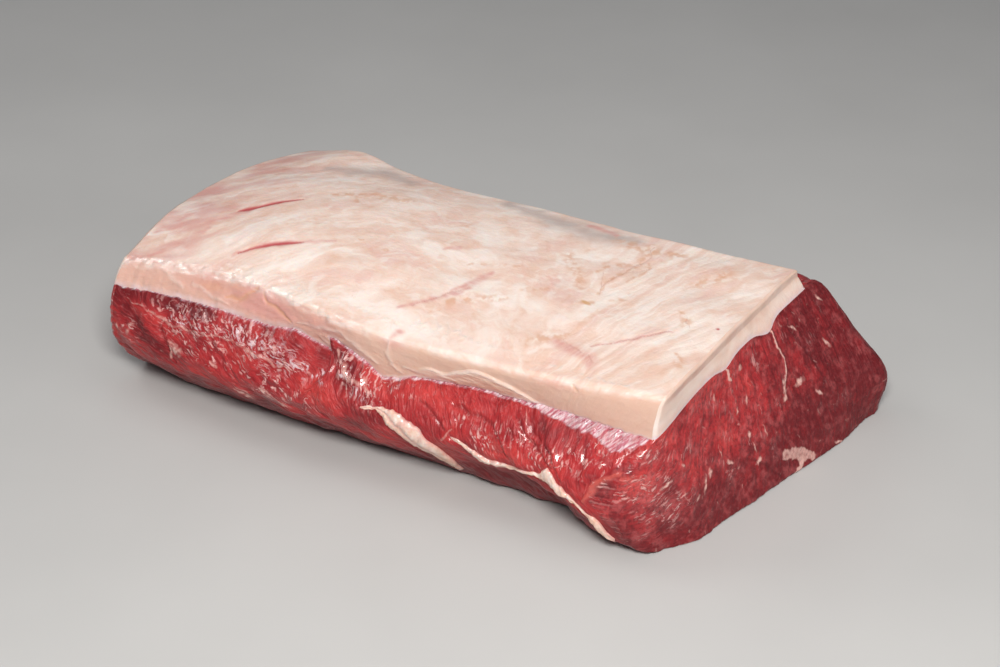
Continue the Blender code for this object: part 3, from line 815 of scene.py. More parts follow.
def closed_slab(name, layers, sign):
    """Open grid closed behind: a skirt round its edge that leans in and goes back along x, and a fan to a
    middle point. `sign` is the way along x that the grid faces."""
    layers = as_columns(layers)
    rows, columns = layers["place"].shape[:2]
    index = np.arange(rows * columns).reshape(rows, columns)
    loop = np.concatenate([index[0, :-1], index[:-1, -1], index[-1, :0:-1], index[:0:-1, 0]])
    flat = {}
    for k, v in layers.items():
        grid = v.reshape(rows * columns, -1)
        flat[k] = np.vstack([grid, grid[loop], grid[loop].mean(0)])
    skirt = rows * columns
    rim = flat["place"][skirt:-1]
    row, column = np.divmod(loop, columns)
    inside = index[np.clip(row, 1, rows - 2), np.clip(column, 1, columns - 2)]
    rim += (-sign * SKIRT_DEPTH, 0, 0) + SKIRT_LEAN * (flat["place"][inside] - rim)
    flat["place"][-1, 0] -= sign * (SKIRT_DEPTH + SKIRT_MIDDLE)
    ring = skirt + np.arange(len(loop))
    outer = np.stack([index[:-1, :-1], index[:-1, 1:], index[1:, 1:], index[1:, :-1]], -1).reshape(-1, 4)
    quads = np.vstack([outer, np.stack([np.roll(loop, -1), loop, ring, np.roll(ring, -1)], -1)])
    hidden = np.arange(len(quads)) >= len(outer)
    fan = np.stack([np.roll(ring, -1), ring, np.full(len(loop), skirt + len(loop))], -1)
    if sign < 0:
        quads = quads[:, ::-1]
        fan = fan[:, ::-1]
    return new_piece(name, flat, quads, fan, hidden)


def resample(curve, count):
    """`count` points spaced evenly along a (y, z) line."""
    length = np.concatenate([[0], np.cumsum(np.hypot(*np.diff(curve, axis=0).T))])
    even = np.linspace(0, length[-1], count)
    return np.stack([np.interp(even, length, curve[:, k]) for k in (0, 1)], -1)


def patch(bottom, top, front, back):
    """Coons patch between four (y, z) lines: both ruled surfaces added, less the one through the corners."""
    v = np.linspace(0, 1, len(front))[:, None, None]
    u = np.linspace(0, 1, len(bottom))[None, :, None]
    ruled = (1 - v) * bottom[None] + v * top[None] + (1 - u) * front[:, None] + u * back[:, None]
    corners = (1 - v) * ((1 - u) * bottom[0] + u * bottom[-1]) + v * ((1 - u) * top[0] + u * top[-1])
    return ruled - corners


def edge_drop(yz, radius, sides):
    """How far a cut face falls back near its outer edges: a quarter round of `radius` on the named sides."""
    across = run_length(yz)
    up = run_height(yz)
    gaps = {"front": across, "back": across[:, -1:] - across, "bottom": up, "top": up[-1:] - up}
    near = np.min([gaps[side] for side in sides], axis=0)
    inside = np.clip(radius - near, 0, radius)
    return radius - np.sqrt(np.clip(radius**2 - inside**2, 0, None))


# ---- lean ----
def lean_rows(section):
    """Rings round the lean before its grain: front, underside, back, then under the fat."""
    s = sizes_at(section)
    fy, fz = front_side(s, steps(FRONT_COLUMNS))
    uy = s["foot_y"] + (s["heel_y"] - s["foot_y"]) * steps(UNDER_COLUMNS)
    by, bz = back_side(s, steps(BACK_COLUMNS))
    jy = s["back_y"] + (s["rim_y"] - s["back_y"]) * steps(JOIN_COLUMNS)
    y = np.concatenate([fy, uy, by, jy], 1)
    z = np.concatenate([fz, 0 * uy, bz, join_height(s, jy)], 1)
    return np.stack([place(section, y, z, LEAN_EDGE), y, z], -1)


def middle_line(edges):
    """Line between the two edges of a strip of seam fat, with a little over half its width."""
    return [
        (0.5 * (s0 + s1), 0.5 * (z0 + z1), 0.6 * np.hypot(s0 - s1, z0 - z1) + 0.5)
        for s0, z0, s1, z1 in edges
    ]


def front_marks(section, x, z, depth):
    """Layers of the front side: named creases, strands, lumps of pale fat and patches of painted highlight,
    bands of painted shade, silverskin and wet patches, and the beds where the grain is flat under the seam
    fat."""
    wx = x + ripples(x, z, (1.3, 6, 6, 41))
    wz = z + ripples(x, z, (1.3, 6, 6, 42))
    skin = straight(SILVER_WIDTH, x)
    border = x - straight(CUT_BORDER, z) + 0.7 * waves(z / 3, x / 9, 43)
    return {
        "crease": streaks(wx, wz, CREASES),
        "lip": streaks(wx - 2.4, wz - 1.0, CREASES),
        "strand": streaks(wx, wz, STRANDS) * (0.6 + 0.4 * rise(waves(x / 3, z / 3, 44), -0.4, 0.3)),
        "lump_and_highlight": patches(wx, wz, LUMPS_AND_HIGHLIGHTS) * (0.45 + 0.55 * rise(waves(x / 2.2, z / 2.2, 47), -0.4, 0.3)),
        "hatch": streaks(wx, wz, HATCHED),
        "silver": rise(skin - depth + waves(x / 4, depth / 3, 45), -0.7, 0.7),
        "fringe": streak(wx, wz, FRINGE),
        "bright": patches(wx, wz, BRIGHT),
        "dark": streaks(wx, wz, PAINTED_SHADE_BANDS),
        "glint": patches(wx, wz, GLINTS),
        "calm": patches(wx, wz, CALM),
        "bed": streaks(section, z, [middle_line(edges) for edges in (SEAM_LOBE, SEAM_STRIP)]),
        "cut": rise(border, -1.5, 1.5),
    }


def cut_grain(y, z, across, length):
    """Relief of cut lean: short bundles of fibres, and a fine pebble between them."""
    return ripples(across, length, (0.20, 2.6, 6, 63)) + ripples(y, z, (0.22, 1.7, 1.7, 66), (0.24, 5, 5, 64))


def lean_body_layers(section, relief):
    """Points and colour layers of the lean body. Its fibres are steep near the fat and flatter lower down."""
    p = lean_rows(section)
    x, y, z = p[..., 0], p[..., 1], p[..., 2]
    column = np.arange(p.shape[1])
    heel_column = FRONT_COLUMNS + UNDER_COLUMNS
    edge_column = heel_column + BACK_COLUMNS
    front = column < FRONT_COLUMNS
    back = (column >= heel_column) & (column < edge_column)
    ring_length = run_length(p)
    foot = ring_length[:, [FRONT_COLUMNS]]
    back_edge = ring_length[:, [edge_column - 1]]
    depth = np.where(front, np.minimum(ring_length, foot), np.clip(back_edge - ring_length, 0, None))
    bent = depth - 8 * rise(-section, -20, 60) * (1 - np.exp(-depth / 12))
    across, length = flow(section, -bent, FRONT_FIBRES)
    across = across + ripples(x, depth, (2.6, 31, 23, 21), (1.0, 11, 9, 22))
    marks = {k: v * front for k, v in front_marks(section, x, z, depth).items()}
    crease, strand, lump_and_highlight, fringe = (marks[k] for k in ("crease", "strand", "lump_and_highlight", "fringe"))
    silver, hatch, bed, is_cut = (marks[k] for k in ("silver", "hatch", "bed", "cut"))

    calm = unit(np.maximum(marks["calm"], rise(waves(x / 40, z / 20, 31), 0.1, 0.6)))
    rough = (1 - 0.8 * calm) * (1 - 0.6 * silver) * (1 - is_cut)
    torn = rise(waves(across / 15, length / 25, 36), 0.0, 0.6)
    clefts = rise(threads(across / 9, length / 34, 33, 4) * torn, 0.1, 1.0)
    shown_front = rise(depth, 0, 3) * rise(z, 0, 5)
    shown_back = rise(z, 0, 6) * rise(depth, 0, 6)
    shown = np.where(front, shown_front, np.where(back, shown_back, 0.0))
    cords = ripples(across, length, (0.65, 4.4, 22, 35), (0.25, 1.9, 11, 34))
    cut_across, cut_length = flow(y, z, CUT_FIBRES)
    height = (
        rough * (cords - 0.7 * clefts)
        + 1.1 * layered(x / 16, z / 11, 37, 3)
        - 0.8 * crease
        + 0.4 * marks["lip"]
        + 0.25 * strand
        + 0.5 * lump_and_highlight
        + 0.9 * fringe
        + 0.15 * hatch * waves(across / 1.4, length / 6, 38)
        + 0.30 * silver * waves((x - z) / 5, (x + z) / 1.8, 39)
        + is_cut * cut_grain(y, z, cut_across, cut_length)
    )
    across = np.where(is_cut > 0.5, cut_across, across)
    length = np.where(is_cut > 0.5, cut_length, length)
    height = height * shown * (1 - bed) - 0.3 * bed
    tone = 0.5 + 0.32 * layered(x / 26, z / 16, 46, 2) + 0.45 * marks["bright"] - 0.6 * marks["dark"]
    # painted shade: the front is darkened low down, where it tucks under toward the foot
    tone = tone - 0.5 * rise(depth, 46, 66) * front - 0.25 * is_cut
    return {
        "place": raised(p, relief * height, section, LEAN_EDGE),
        "fibre": np.stack([across, length, 0 * across], -1),
        "tone": unit(tone),
        # painted shade: the creases and clefts are also cut into the relief, and their dark colour is painted
        # shade
        "dark": unit(np.maximum(0.45 * crease, 0.5 * clefts * rough * shown)),
        "pale": unit(np.maximum(0.65 * strand, lump_and_highlight)),
        "wet": unit(np.where(front, marks["glint"] + 0.6 * fringe + 0.15 * is_cut + 0.25, 0.4)),
        "hatch": hatch,
        "silver": silver * (1 - is_cut),
        "fringe": fringe,
        "cut": is_cut,
    }


def join_line(section):
    """The line where fat meets lean at one section, from the front to the back, as (y, z) points."""
    s = sizes_at(np.array([[section]]))
    y = s["rim_y"] + (s["back_y"] - s["rim_y"]) * np.linspace(0, 1, JOIN_POINTS)
    return np.stack([y, join_height(s, y)], -1)[0]


def lean_outline(ring, section):
    """The four sides of the end of the lean, as (y, z) lines: bottom, top, front, back."""
    foot = FRONT_COLUMNS
    heel = foot + UNDER_COLUMNS
    back_edge = heel + BACK_COLUMNS
    whole = np.vstack([ring, ring[:1]])[:, 1:]
    bottom = resample(whole[foot : heel + 1], CUT_COLUMNS)
    top = resample(join_line(section), CUT_COLUMNS)
    front = resample(whole[: foot + 1][::-1], CUT_ROWS)
    back = resample(whole[heel : back_edge + 1], CUT_ROWS)
    return bottom, top, front, back


def marbling_at(y, z, seen):
    """Marbling, 0 to 1: seeded small marks, and on the cut that the photo shows also the named ones."""
    wy = y + ripples(y, z, (0.8, 2.2, 2.2, 51))
    wz = z + ripples(y, z, (0.8, 2.4, 2.4, 52))
    flecks = highest(*(mound(wy, wz, cy, cz, turn, long, wide, 1.3) for cy, cz, long, wide, turn in FLECKS))
    flecks = flecks * (0.6 + 0.4 * rise(waves(y / 1.6, z / 1.6, 55), -0.5, 0.3))
    pocket = rise(patches(wy, wz, FAT_POCKET) + 0.12 * waves(y / 1.5, z / 1.5, 58), 0.22, 0.50)
    pocket = (0.80 + 0.12 * waves(y / 1.1, z / 1.1, 59)) * pocket * (1 - 0.55 * patches(y, z, POCKET_CORE))
    lines = np.maximum(1.3 * streaks(wy, wz, (POCKET_TAIL, CLEAVAGE, SHORT_SEAM)), pocket)
    small = threads(y / 7, z / 9, 53, 12) * rise(waves(y / 5, z / 5, 54), 0.35, 0.6) * 0.55
    webs = threads(y / 13, z / 12, 56, 16) * rise(waves(y / 9, z / 9, 57), 0.1, 0.5) * 0.38
    return unit(highest(seen * 0.85 * flecks, seen * 0.9 * lines, small, webs))


def cut_layers(yz, end, sign, relief):
    """Points and colour layers of a cut face of the lean."""
    y, z = yz[..., 0], yz[..., 1]
    across, length = flow(y, z, CUT_FIBRES)
    across = across + ripples(y, z, (3.0, 26, 22, 61), (1.4, 9, 8, 62))
    seen = float(sign > 0)
    groove = streaks(y + ripples(y, z, (1.2, 7, 7, 67)), z, CUT_GROOVES)
    valley = seen * (streak(y - 1.6, z, CLEAVAGE) + 0.5 * streak(y + 2.2, z, CLEAVAGE))
    marbling = marbling_at(y, z, seen)
    drop = edge_drop(yz, LEAN_EDGE, ("front", "back", "bottom"))
    height = (
        cut_grain(y, z, across, length) * (1 - 0.8 * marbling)
        + 0.9 * layered(y / 24, z / 20, 65, 2)
        - 0.4 * groove
        - 0.6 * valley
        + 0.3 * marbling
    )
    x = end(y, z) + sign * (relief * height * rise(LEAN_EDGE - drop, 0, LEAN_EDGE) - drop)
    near_fat = hump(run_height(yz[::-1])[::-1], 0, 9)
    # painted shade: the cut face is darkened toward its foot and toward the back
    shade = unit(0.8 * rise(-z, -46, -2) + 0.75 * rise(y, -10, 85) + 0.1)
    tone = 0.60 + 0.36 * layered(y / 15, z / 12, 68, 3) + 0.3 * near_fat * rise(-y, 0, 60) - 0.8 * shade
    # painted highlights along the top and the back edge of the cut face, in the orange-red of the torn edges
    top_edge_highlight = 0.8 * hump(y, 62, 30) * hump(drop, 1.2, 1.0) * rise(z, 66, 74)
    back_edge_highlight = 0.4 * hump(drop, 1.6, 1.0) * rise(y, 70, 95) * rise(z, 8, 30)
    wet = 0.25 + 0.9 * patches(y, z, CUT_GLINTS) + 0.45 * waves(y / 11, z / 9, 69) - 0.2 * shade
    zero = 0 * y
    return {
        "place": np.stack([x, y, np.maximum(z, 0)], -1),
        "fibre": np.stack([across, length, zero], -1),
        "tone": unit(tone),
        # painted shade in the grooves, beside the cleavage line, and toward the foot and back
        "dark": unit(0.5 * groove + 0.5 * valley + 0.42 * shade),
        "pale": marbling,
        "wet": unit(wet),
        "hatch": zero,
        "silver": zero,
        # the fringe layer holds the torn edge at the front and the painted edge highlights
        "fringe": unit(highest(mound(y, z, *CUT_FRINGE), top_edge_highlight, back_edge_highlight)),
        "cut": 1 + zero,
    }


# ---- fat cap ----
def lip_at(s, z):
    """The curled lip along the lower edge of the fat: how far there is one, and the height over its fold."""
    section = s["section"]
    return rise(section, -8, 10) * rise(-section, -76, -62), z - along(LIP_FOLD, section)


def fat_front(s, shares):
    """y and z down the front of the fat, from the crease to its lower edge: a low bulge, and a lip that
    stands out below its fold line."""
    u = shares[None, :]
    rim_z = s["rim_z"] - FAT_OVERLAP
    y = s["rim_y"] + u * (s["crease_y"] - s["rim_y"])
    z = rim_z + u * (s["crease_z"] - rim_z)
    lip, over = lip_at(s, z)
    out = FRONT_BULGE * np.sin(np.pi * unit(u)) ** 0.7 + LIP_OUT * lip * rise(-over, -0.9, 0.9)
    return y - out, z


def fat_crease(s, shares):
    """y and z round the crease: a quadratic Bezier line from the top to the front, bent toward the crease."""
    t = shares[None, :]
    top_y = s["crease_y"] + CREASE_ROUND
    front_y, front_z = fat_front(s, np.array([CREASE_SHARE]))
    y = (1 - t) ** 2 * top_y + 2 * t * (1 - t) * s["crease_y"] + t**2 * front_y
    z = (1 - t) ** 2 * top_height(s, top_y) + 2 * t * (1 - t) * s["crease_z"] + t**2 * front_z
    return y, z


def fat_rows(section):
    """Rings round the fat cap: down the front, along the underside, up the back edge, back over the top."""
    s = sizes_at(section)
    turns = (np.arange(2 * CREASE_COLUMNS) + 0.5) / (2 * CREASE_COLUMNS)
    cy, cz = fat_crease(s, turns)
    fy, fz = fat_front(s, np.linspace(CREASE_SHARE, 0, FAT_FRONT_COLUMNS - CREASE_COLUMNS))
    under_y = s["rim_y"] + (s["back_y"] - s["rim_y"]) * np.linspace(0, 1, JOIN_COLUMNS + 1)[1:]
    under_z = join_height(s, under_y) - FAT_SINK
    turn = np.radians(BACK_TURNS)
    half = 0.5 * (s["back_z"] - under_z[:, -1:])
    back_y = s["back_y"] - 1.0 + BACK_BULGE * np.sin(turn)
    back_z = under_z[:, -1:] + half + half * np.cos(turn) - 0.2
    first = s["crease_y"] + CREASE_ROUND
    ty = first + (s["back_y"] - 1.5 - first) * np.linspace(1, 0, FAT_TOP_COLUMNS) ** TOP_CROWDING
    upper, lower = np.s_[:, :CREASE_COLUMNS], np.s_[:, CREASE_COLUMNS:]
    y = np.concatenate([cy[lower], fy, under_y, back_y, ty, cy[upper]], 1)
    z = np.concatenate([cz[lower], fz, under_z, back_z, top_height(s, ty), cz[upper]], 1)
    return np.stack([place(section, y, z, FAT_EDGE), y, z], -1), s


def fat_layers(section, relief):
    """Points and colour layers of the fat cap."""
    p, s = fat_rows(section)
    x, y, z = p[..., 0], p[..., 1], p[..., 2]
    column = np.arange(p.shape[1])
    front = column < FAT_FRONT_COLUMNS
    under = (column >= FAT_FRONT_COLUMNS) & (column < FAT_FRONT_COLUMNS + JOIN_COLUMNS)
    top = ~front & ~under
    left = rise(-x, 20, 70)
    up = z - s["rim_z"]
    below = np.clip(s["crease_z"] - z, 0, None)
    across, length = flow(x, y - 1.5 * below, FAT_FIBRES)
    across = across + ripples(x, y, (2.6, 34, 28, 81), (1.0, 12, 10, 82))
    wx = x + ripples(x, y, (1.4, 6, 6, 83))
    wy = y + ripples(x, y, (1.4, 6, 6, 84))
    wz = z + ripples(x, z, (0.9, 6, 4, 85))
    gash = streaks(x + ripples(x, y, (0.4, 2, 2, 86)), y, GASHES) * top
    cleft = streaks(wx, wz, CLEFTS) * front
    fold = streaks(wx, wz, FOLDS) * front
    vein = streaks(wx, wy, VEINS) * top
    white = streaks(wx, wy, WHITES_AND_HIGHLIGHTS) * rise(waves(x / 3, y / 3, 87), -0.5, 0.5)
    near_crease = hump(y - s["crease_y"], 0.5 + 0.8 * left, 3.0) * top
    near_crease = near_crease + hump(below, 1.5 - 0.5 * left, 2.4) * front
    has_lip, over = lip_at(s, z)
    # painted highlight along the curled lip
    lip_edge = has_lip * front * hump(over + 0.8 * waves(x / 6, 0 * x, 103), -1.0, 1.6)
    lip = has_lip * front * rise(-over, -0.5, 0.5)
    height = (
        ripples(x, y, (0.8, 38, 24, 88))
        + ripples(across, length, (0.13, 5, 20, 89))
        + ripples(across, length, (0.05, 2.4, 8, 90)) * top
        + (0.15 + 0.30 * left) * near_crease * layered(x / 6, (y + z) / 4, 91, 3)
        + (0.12 + 0.25 * left) * front * layered(x / 9, z / 4.5, 92, 2)
        + 0.25 * lip * waves(x / 7, (z + 0.1 * x) / 1.2, 93)
        + 0.15 * lip_edge
        - 0.6 * gash
        - 0.8 * cleft
        + 0.30 * fold
        - 0.2 * vein
    )

    height = relief * height * (1 - under) * rise(up, -0.6, 1.5)
    pink_end = rise(-x, 118, 206) * rise(layered(across / 9, length / 26, 95, 2), -0.7, 0.7)
    blush = streaks(wx, wy, BLUSHES) * (0.55 + 0.45 * rise(waves(across / 2.2, length / 9, 94), -0.5, 0.4))
    pink = patches(wx, wz, PINK_FRONT) + 0.34 * left + 0.06
    warm = 0.32 * rise(section, 20, 120) * rise(-y, 0, 55) * top
    tan = streaks(wx, wy, TANS) * rise(layered(x / 4, y / 4, 96, 3), -0.5, 0.5) * top
    tan_front = np.maximum(patches(wx, wz, TAN_FRONT), 0.9 * cleft) * front
    spot = highest(*(hump(x, sx, r) * hump(y, sy, r) for sx, sy, r in SPOTS)) * top
    # painted highlight along the crease, broken up and stronger at the left: it whitens the colour and wets
    # the surface
    shine = near_crease * (0.55 + 0.45 * left) * rise(layered(x / 8, (y + z) / 4, 97, 2), -0.5, 0.5)
    # painted shade: greyer toward the back of the top
    grey = streaks(wx, wy, GREY_BACK_SHADES) * (0.75 + 0.25 * waves(across / 5, length / 20, 98)) * top
    return {
        "place": raised(p, height, section, FAT_EDGE),
        "flow": np.stack([across, length, 0 * across], -1),
        "blush": unit(np.where(front, pink, np.maximum(blush, 0.95 * pink_end) * top)),
        "tan": unit(np.maximum(tan, tan_front) + warm),
        "stain": mound(x, y, *STAIN) * top,
        "vein": vein,
        "grey": unit(grey),
        # the white layer holds pale patches, and painted highlights along the crease, the curled lip and the
        # folds
        "white": unit(highest(0.5 * white * top + 0.6 * shine, 0.55 * lip_edge, 0.35 * fold)),
        "blood": unit(np.maximum(0.85 * gash, 1.2 * spot)),
        "wet": unit(highest(white * (y < -45), shine, 0.9 * lip_edge, 0.7 * fold, 0.6 * lip)),
        "lilac": front * hump(up, 0.4, 1.0 + 1.3 * left) * (0.65 + 0.35 * waves(x / 5, z / 3, 104)),
        "side": front * rise(below, 0.5, 4),
    }


def fat_outline(ring, section):
    """The four sides of the end of the fat cap, as (y, z) lines: bottom, top, front, back."""
    back_first = FAT_FRONT_COLUMNS + JOIN_COLUMNS
    top_first = back_first + len(BACK_TURNS)
    yz = ring[:, 1:]
    join = join_line(section)
    bottom = resample(join, FAT_CUT_COLUMNS)
    top = resample(yz[top_first:][::-1], FAT_CUT_COLUMNS)
    front = resample(np.vstack([yz[-1:], yz[: FAT_FRONT_COLUMNS - 1], join[:1]])[::-1], FAT_CUT_ROWS)
    back = resample(np.vstack([join[-1:], yz[back_first : top_first + 1]]), FAT_CUT_ROWS)
    return bottom, top, front, back


def fat_cut_layers(yz, end, sign, relief):
    """Points and colour layers of a cut face of the fat cap: lilac by the lean, then white, then peach, and a
    painted highlight down its front edge.
    """
    y, z = yz[..., 0], yz[..., 1]
    zero = 0 * y
    up = run_height(yz)
    drop = edge_drop(yz, FAT_EDGE, ("front", "back", "top"))
    height = relief * 0.12 * layered(y / 14, z / 7, 99, 2)
    x = end(y, z) + sign * (height * (1 - drop / FAT_EDGE) - drop)
    share = up / np.maximum(up[-1:], 1e-6) + ripples(y, z, (0.08, 9, 9, 100))
    return {
        "place": np.stack([x, y, z], -1),
        "flow": np.stack([0.8 * z, 0.3 * y, zero], -1),
        "blush": 0.30 * rise(0.42 - share, 0, 0.25),
        "tan": 0.16 * rise(share, 0.3, 0.8),
        # painted highlight down the front edge of the cut
        "white": 0.45 * hump(share, 0.28, 0.2) + 0.5 * hump(run_length(yz), 0, 1.6),
        "wet": 0.25 + 0.4 * rise(waves(y / 9, z / 6, 101), -0.2, 0.5),
        "lilac": hump(up + waves(y / 6, zero, 102), 0.0, 1.9),
        "side": 0.60 + zero,
        **{unused: zero for unused in ("stain", "vein", "grey", "blood")},
    }


# ---- seam fat ----
def on_front(section, height):
    """Points of the front side of the lean at given sections and heights: each section's own line is read
    between the two of its points that lie above and below."""
    y, z = front_side(sizes_at(section.ravel()[:, None]), np.linspace(0, 1, FRONT_POINTS))
    aim = height.ravel()[:, None]
    above = np.clip((z > aim).sum(1) - 1, 0, FRONT_POINTS - 2)[:, None]
    y0, y1 = np.take_along_axis(y, above, 1), np.take_along_axis(y, above + 1, 1)
    z0, z1 = np.take_along_axis(z, above, 1), np.take_along_axis(z, above + 1, 1)
    y = (y0 + (y1 - y0) * unit((z0 - aim) / (z0 - z1))).reshape(section.shape)
    return np.stack([place(section, y, height, LEAN_EDGE), y, height], -1)


def seam_layers(edges, groove, high, deep):
    """Lens-shaped strip between an upper and a lower edge on the front side of the lean: rows along it,
    columns down its outer side, `high` over the lean, and back up its inner side, `deep` under it."""
    edges = np.array(edges, float)
    knots = np.arange(len(edges))
    u = np.linspace(0, len(edges) - 1, SEAM_ROWS)[:, None]
    upper_s, upper_z, lower_s, lower_z = (along(tuple(zip(knots, edge)), u) for edge in edges.T)
    upper_z = upper_z + 0.9 * layered(1.3 * u, 0 * u, 111, 2)
    lower_z = lower_z + 0.9 * layered(1.5 * u, 0 * u, 112, 2)
    v = np.linspace(0, 1, SEAM_COLUMNS)[None]
    skin = on_front(upper_s + v * (lower_s - upper_s), upper_z + v * (lower_z - upper_z))
    out = grid_normals(skin, False)
    taper = np.sqrt(np.clip(1 - (2 * u / u[-1] - 1) ** 10, 0.02, 1))
    arch = (4 * v * (1 - v)) ** 0.45
    wide = np.linalg.norm(skin[:, -1:] - skin[:, :1], axis=-1)
    lumps = 0.65 * layered(1.6 * u + 0 * v, 2.2 * v, 113, 3) - groove * hump(v, 0.52, 0.1)
    proud = high * rise(wide, -1, 7) * taper * arch + arch * taper * lumps
    shell = skin + proud[..., None] * out
    inner = skin - (deep * taper * arch)[..., None] * out
    v_all = np.concatenate([v, v[:, -2:0:-1]], 1) + 0 * u
    u_all = u + 0 * v_all
    return {
        "place": np.concatenate([shell, inner[:, -2:0:-1]], 1),
        "thin": unit((2 * np.abs(v_all - 0.5)) ** 4 + 1.2 * (1 - taper)),
        "low": rise(v_all + 0.15 * waves(2 * u_all, 2 * v_all, 114), 0.35, 0.85),
        "tail": rise(u_all / u[-1], 0.55, 0.9),
        "crack": hump(v_all, 0.52, 0.07) * groove,
    }


# ---- node materials ----
def new_material(name):
    """Node material, with its tree and its Principled shader."""
    mat = bpy.data.materials.new(name)
    mat.use_nodes = True
    shader = next(n for n in mat.node_tree.nodes if n.type == "BSDF_PRINCIPLED")
    return mat, mat.node_tree, shader


def feed(tree, node, inputs):
    """Sets the sockets of a node to values, or links them to the sockets that feed them."""
    for key, value in inputs.items():
        if isinstance(value, bpy.types.NodeSocket):
            tree.links.new(value, node.inputs[key])
        else:
            node.inputs[key].default_value = value


def add(tree, kind, inputs, **settings):
    """Adds a node: settings are its own properties, inputs go to its sockets."""
    node = tree.nodes.new("ShaderNode" + kind)
    for key, value in settings.items():
        setattr(node, key, value)
    feed(tree, node, inputs)
    return node


def layer(tree, name):
    """Value of a named layer of the mesh."""
    return add(tree, "Attribute", {}, attribute_name=name).outputs["Fac"]


def field(tree, name):
    """Vector of a named layer of the mesh."""
    return add(tree, "Attribute", {}, attribute_name=name).outputs["Vector"]


def here(tree):
    """Object coordinates, in metres."""
    return add(tree, "TexCoord", {}).outputs["Object"]


def mix(tree, factor, a, b):
    """Colour a where the factor is 0, b where it is 1."""
    a, b = (v if isinstance(v, bpy.types.NodeSocket) else (*v, 1.0) for v in (a, b))
    return add(tree, "Mix", {0: factor, 6: a, 7: b}, data_type="RGBA").outputs[2]


def blend(tree, factor, a, b):
    """Number a where the factor is 0, b where it is 1."""
    return add(tree, "Mix", {0: factor, 2: a, 3: b}, data_type="FLOAT").outputs[0]


def maths(tree, operation, a, b=0.0):
    """One sum on two numbers."""
    return add(tree, "Math", {0: a, 1: b}, operation=operation).outputs[0]


def times(tree, first, *others):
    """Product of several numbers."""
    for other in others:
        first = maths(tree, "MULTIPLY", first, other)
    return first


def away(tree, value, middle):
    """How far a number is from `middle`."""
    return maths(tree, "ABSOLUTE", maths(tree, "SUBTRACT", value, middle))


def remap(tree, value, low, high, to_low=0.0, to_high=1.0):
    """Value from low..high to to_low..to_high, held inside it."""
    ends = {"From Min": low, "From Max": high, "To Min": to_low, "To Max": to_high}
    return add(tree, "MapRange", {"Value": value, **ends}, clamp=True).outputs["Result"]


def vector_maths(tree, operation, a, b):
    """One sum on two vectors."""
    return add(tree, "VectorMath", {0: a, 1: b}, operation=operation).outputs["Vector"]


def noise(tree, vector, scale, detail):
    """Noise, 0 to 1."""
    return add(tree, "TexNoise", {"Vector": vector, "Scale": scale, "Detail": detail}).outputs["Fac"]


def grain(tree, vector, scales, detail):
    """Noise, 0 to 1, with one scale for each axis."""
    return noise(tree, vector_maths(tree, "MULTIPLY", vector, scales), 1.0, detail)


def drifted(tree, vector, spot, scale, amount):
    """Coordinates pushed about by noise, up to half of `amount` either way."""
    push = add(tree, "TexNoise", {"Vector": spot, "Scale": scale, "Detail": 2.0}).outputs["Color"]
    push = vector_maths(tree, "SUBTRACT", push, (0.5, 0.5, 0.5))
    return vector_maths(tree, "ADD", vector, vector_maths(tree, "MULTIPLY", push, amount))


def dashes(tree, vector, scales, wide, share):
    """Short dashes along the lines of a field, 0 to 1: long cells, a `share` of them with a marked centre."""
    vector = vector_maths(tree, "MULTIPLY", vector, scales)
    cells = add(tree, "TexVoronoi", {"Vector": vector, "Scale": 1.0}, voronoi_dimensions="2D")
    chance = add(tree, "SeparateColor", {0: cells.outputs["Color"]}).outputs[0]
    near = remap(tree, cells.outputs["Distance"], wide, 0.35 * wide)
    return times(tree, near, remap(tree, chance, 1 - share, 1 - 0.5 * share))


def tinted(tree, color, rows):
    """A colour with others mixed in, one after another. Each row holds a number or a layer's name, the range
    over which it brings its colour in, the strength that this reaches, and that colour."""
    for factor, low, high, strength, other in rows:
        if isinstance(factor, str):
            factor = layer(tree, factor)
        color = mix(tree, remap(tree, factor, low, high, 0.0, strength), color, other)
    return color


def bumped(tree, rows):
    """Normal of a surface raised again and again. Each row holds a height and its distance in metres."""
    normal = {}
    for height, distance in rows:
        bump = add(tree, "Bump", {"Height": height, "Distance": distance, "Strength": 1.0, **normal})
        normal = {"Normal": bump.outputs["Normal"]}
    return normal["Normal"]


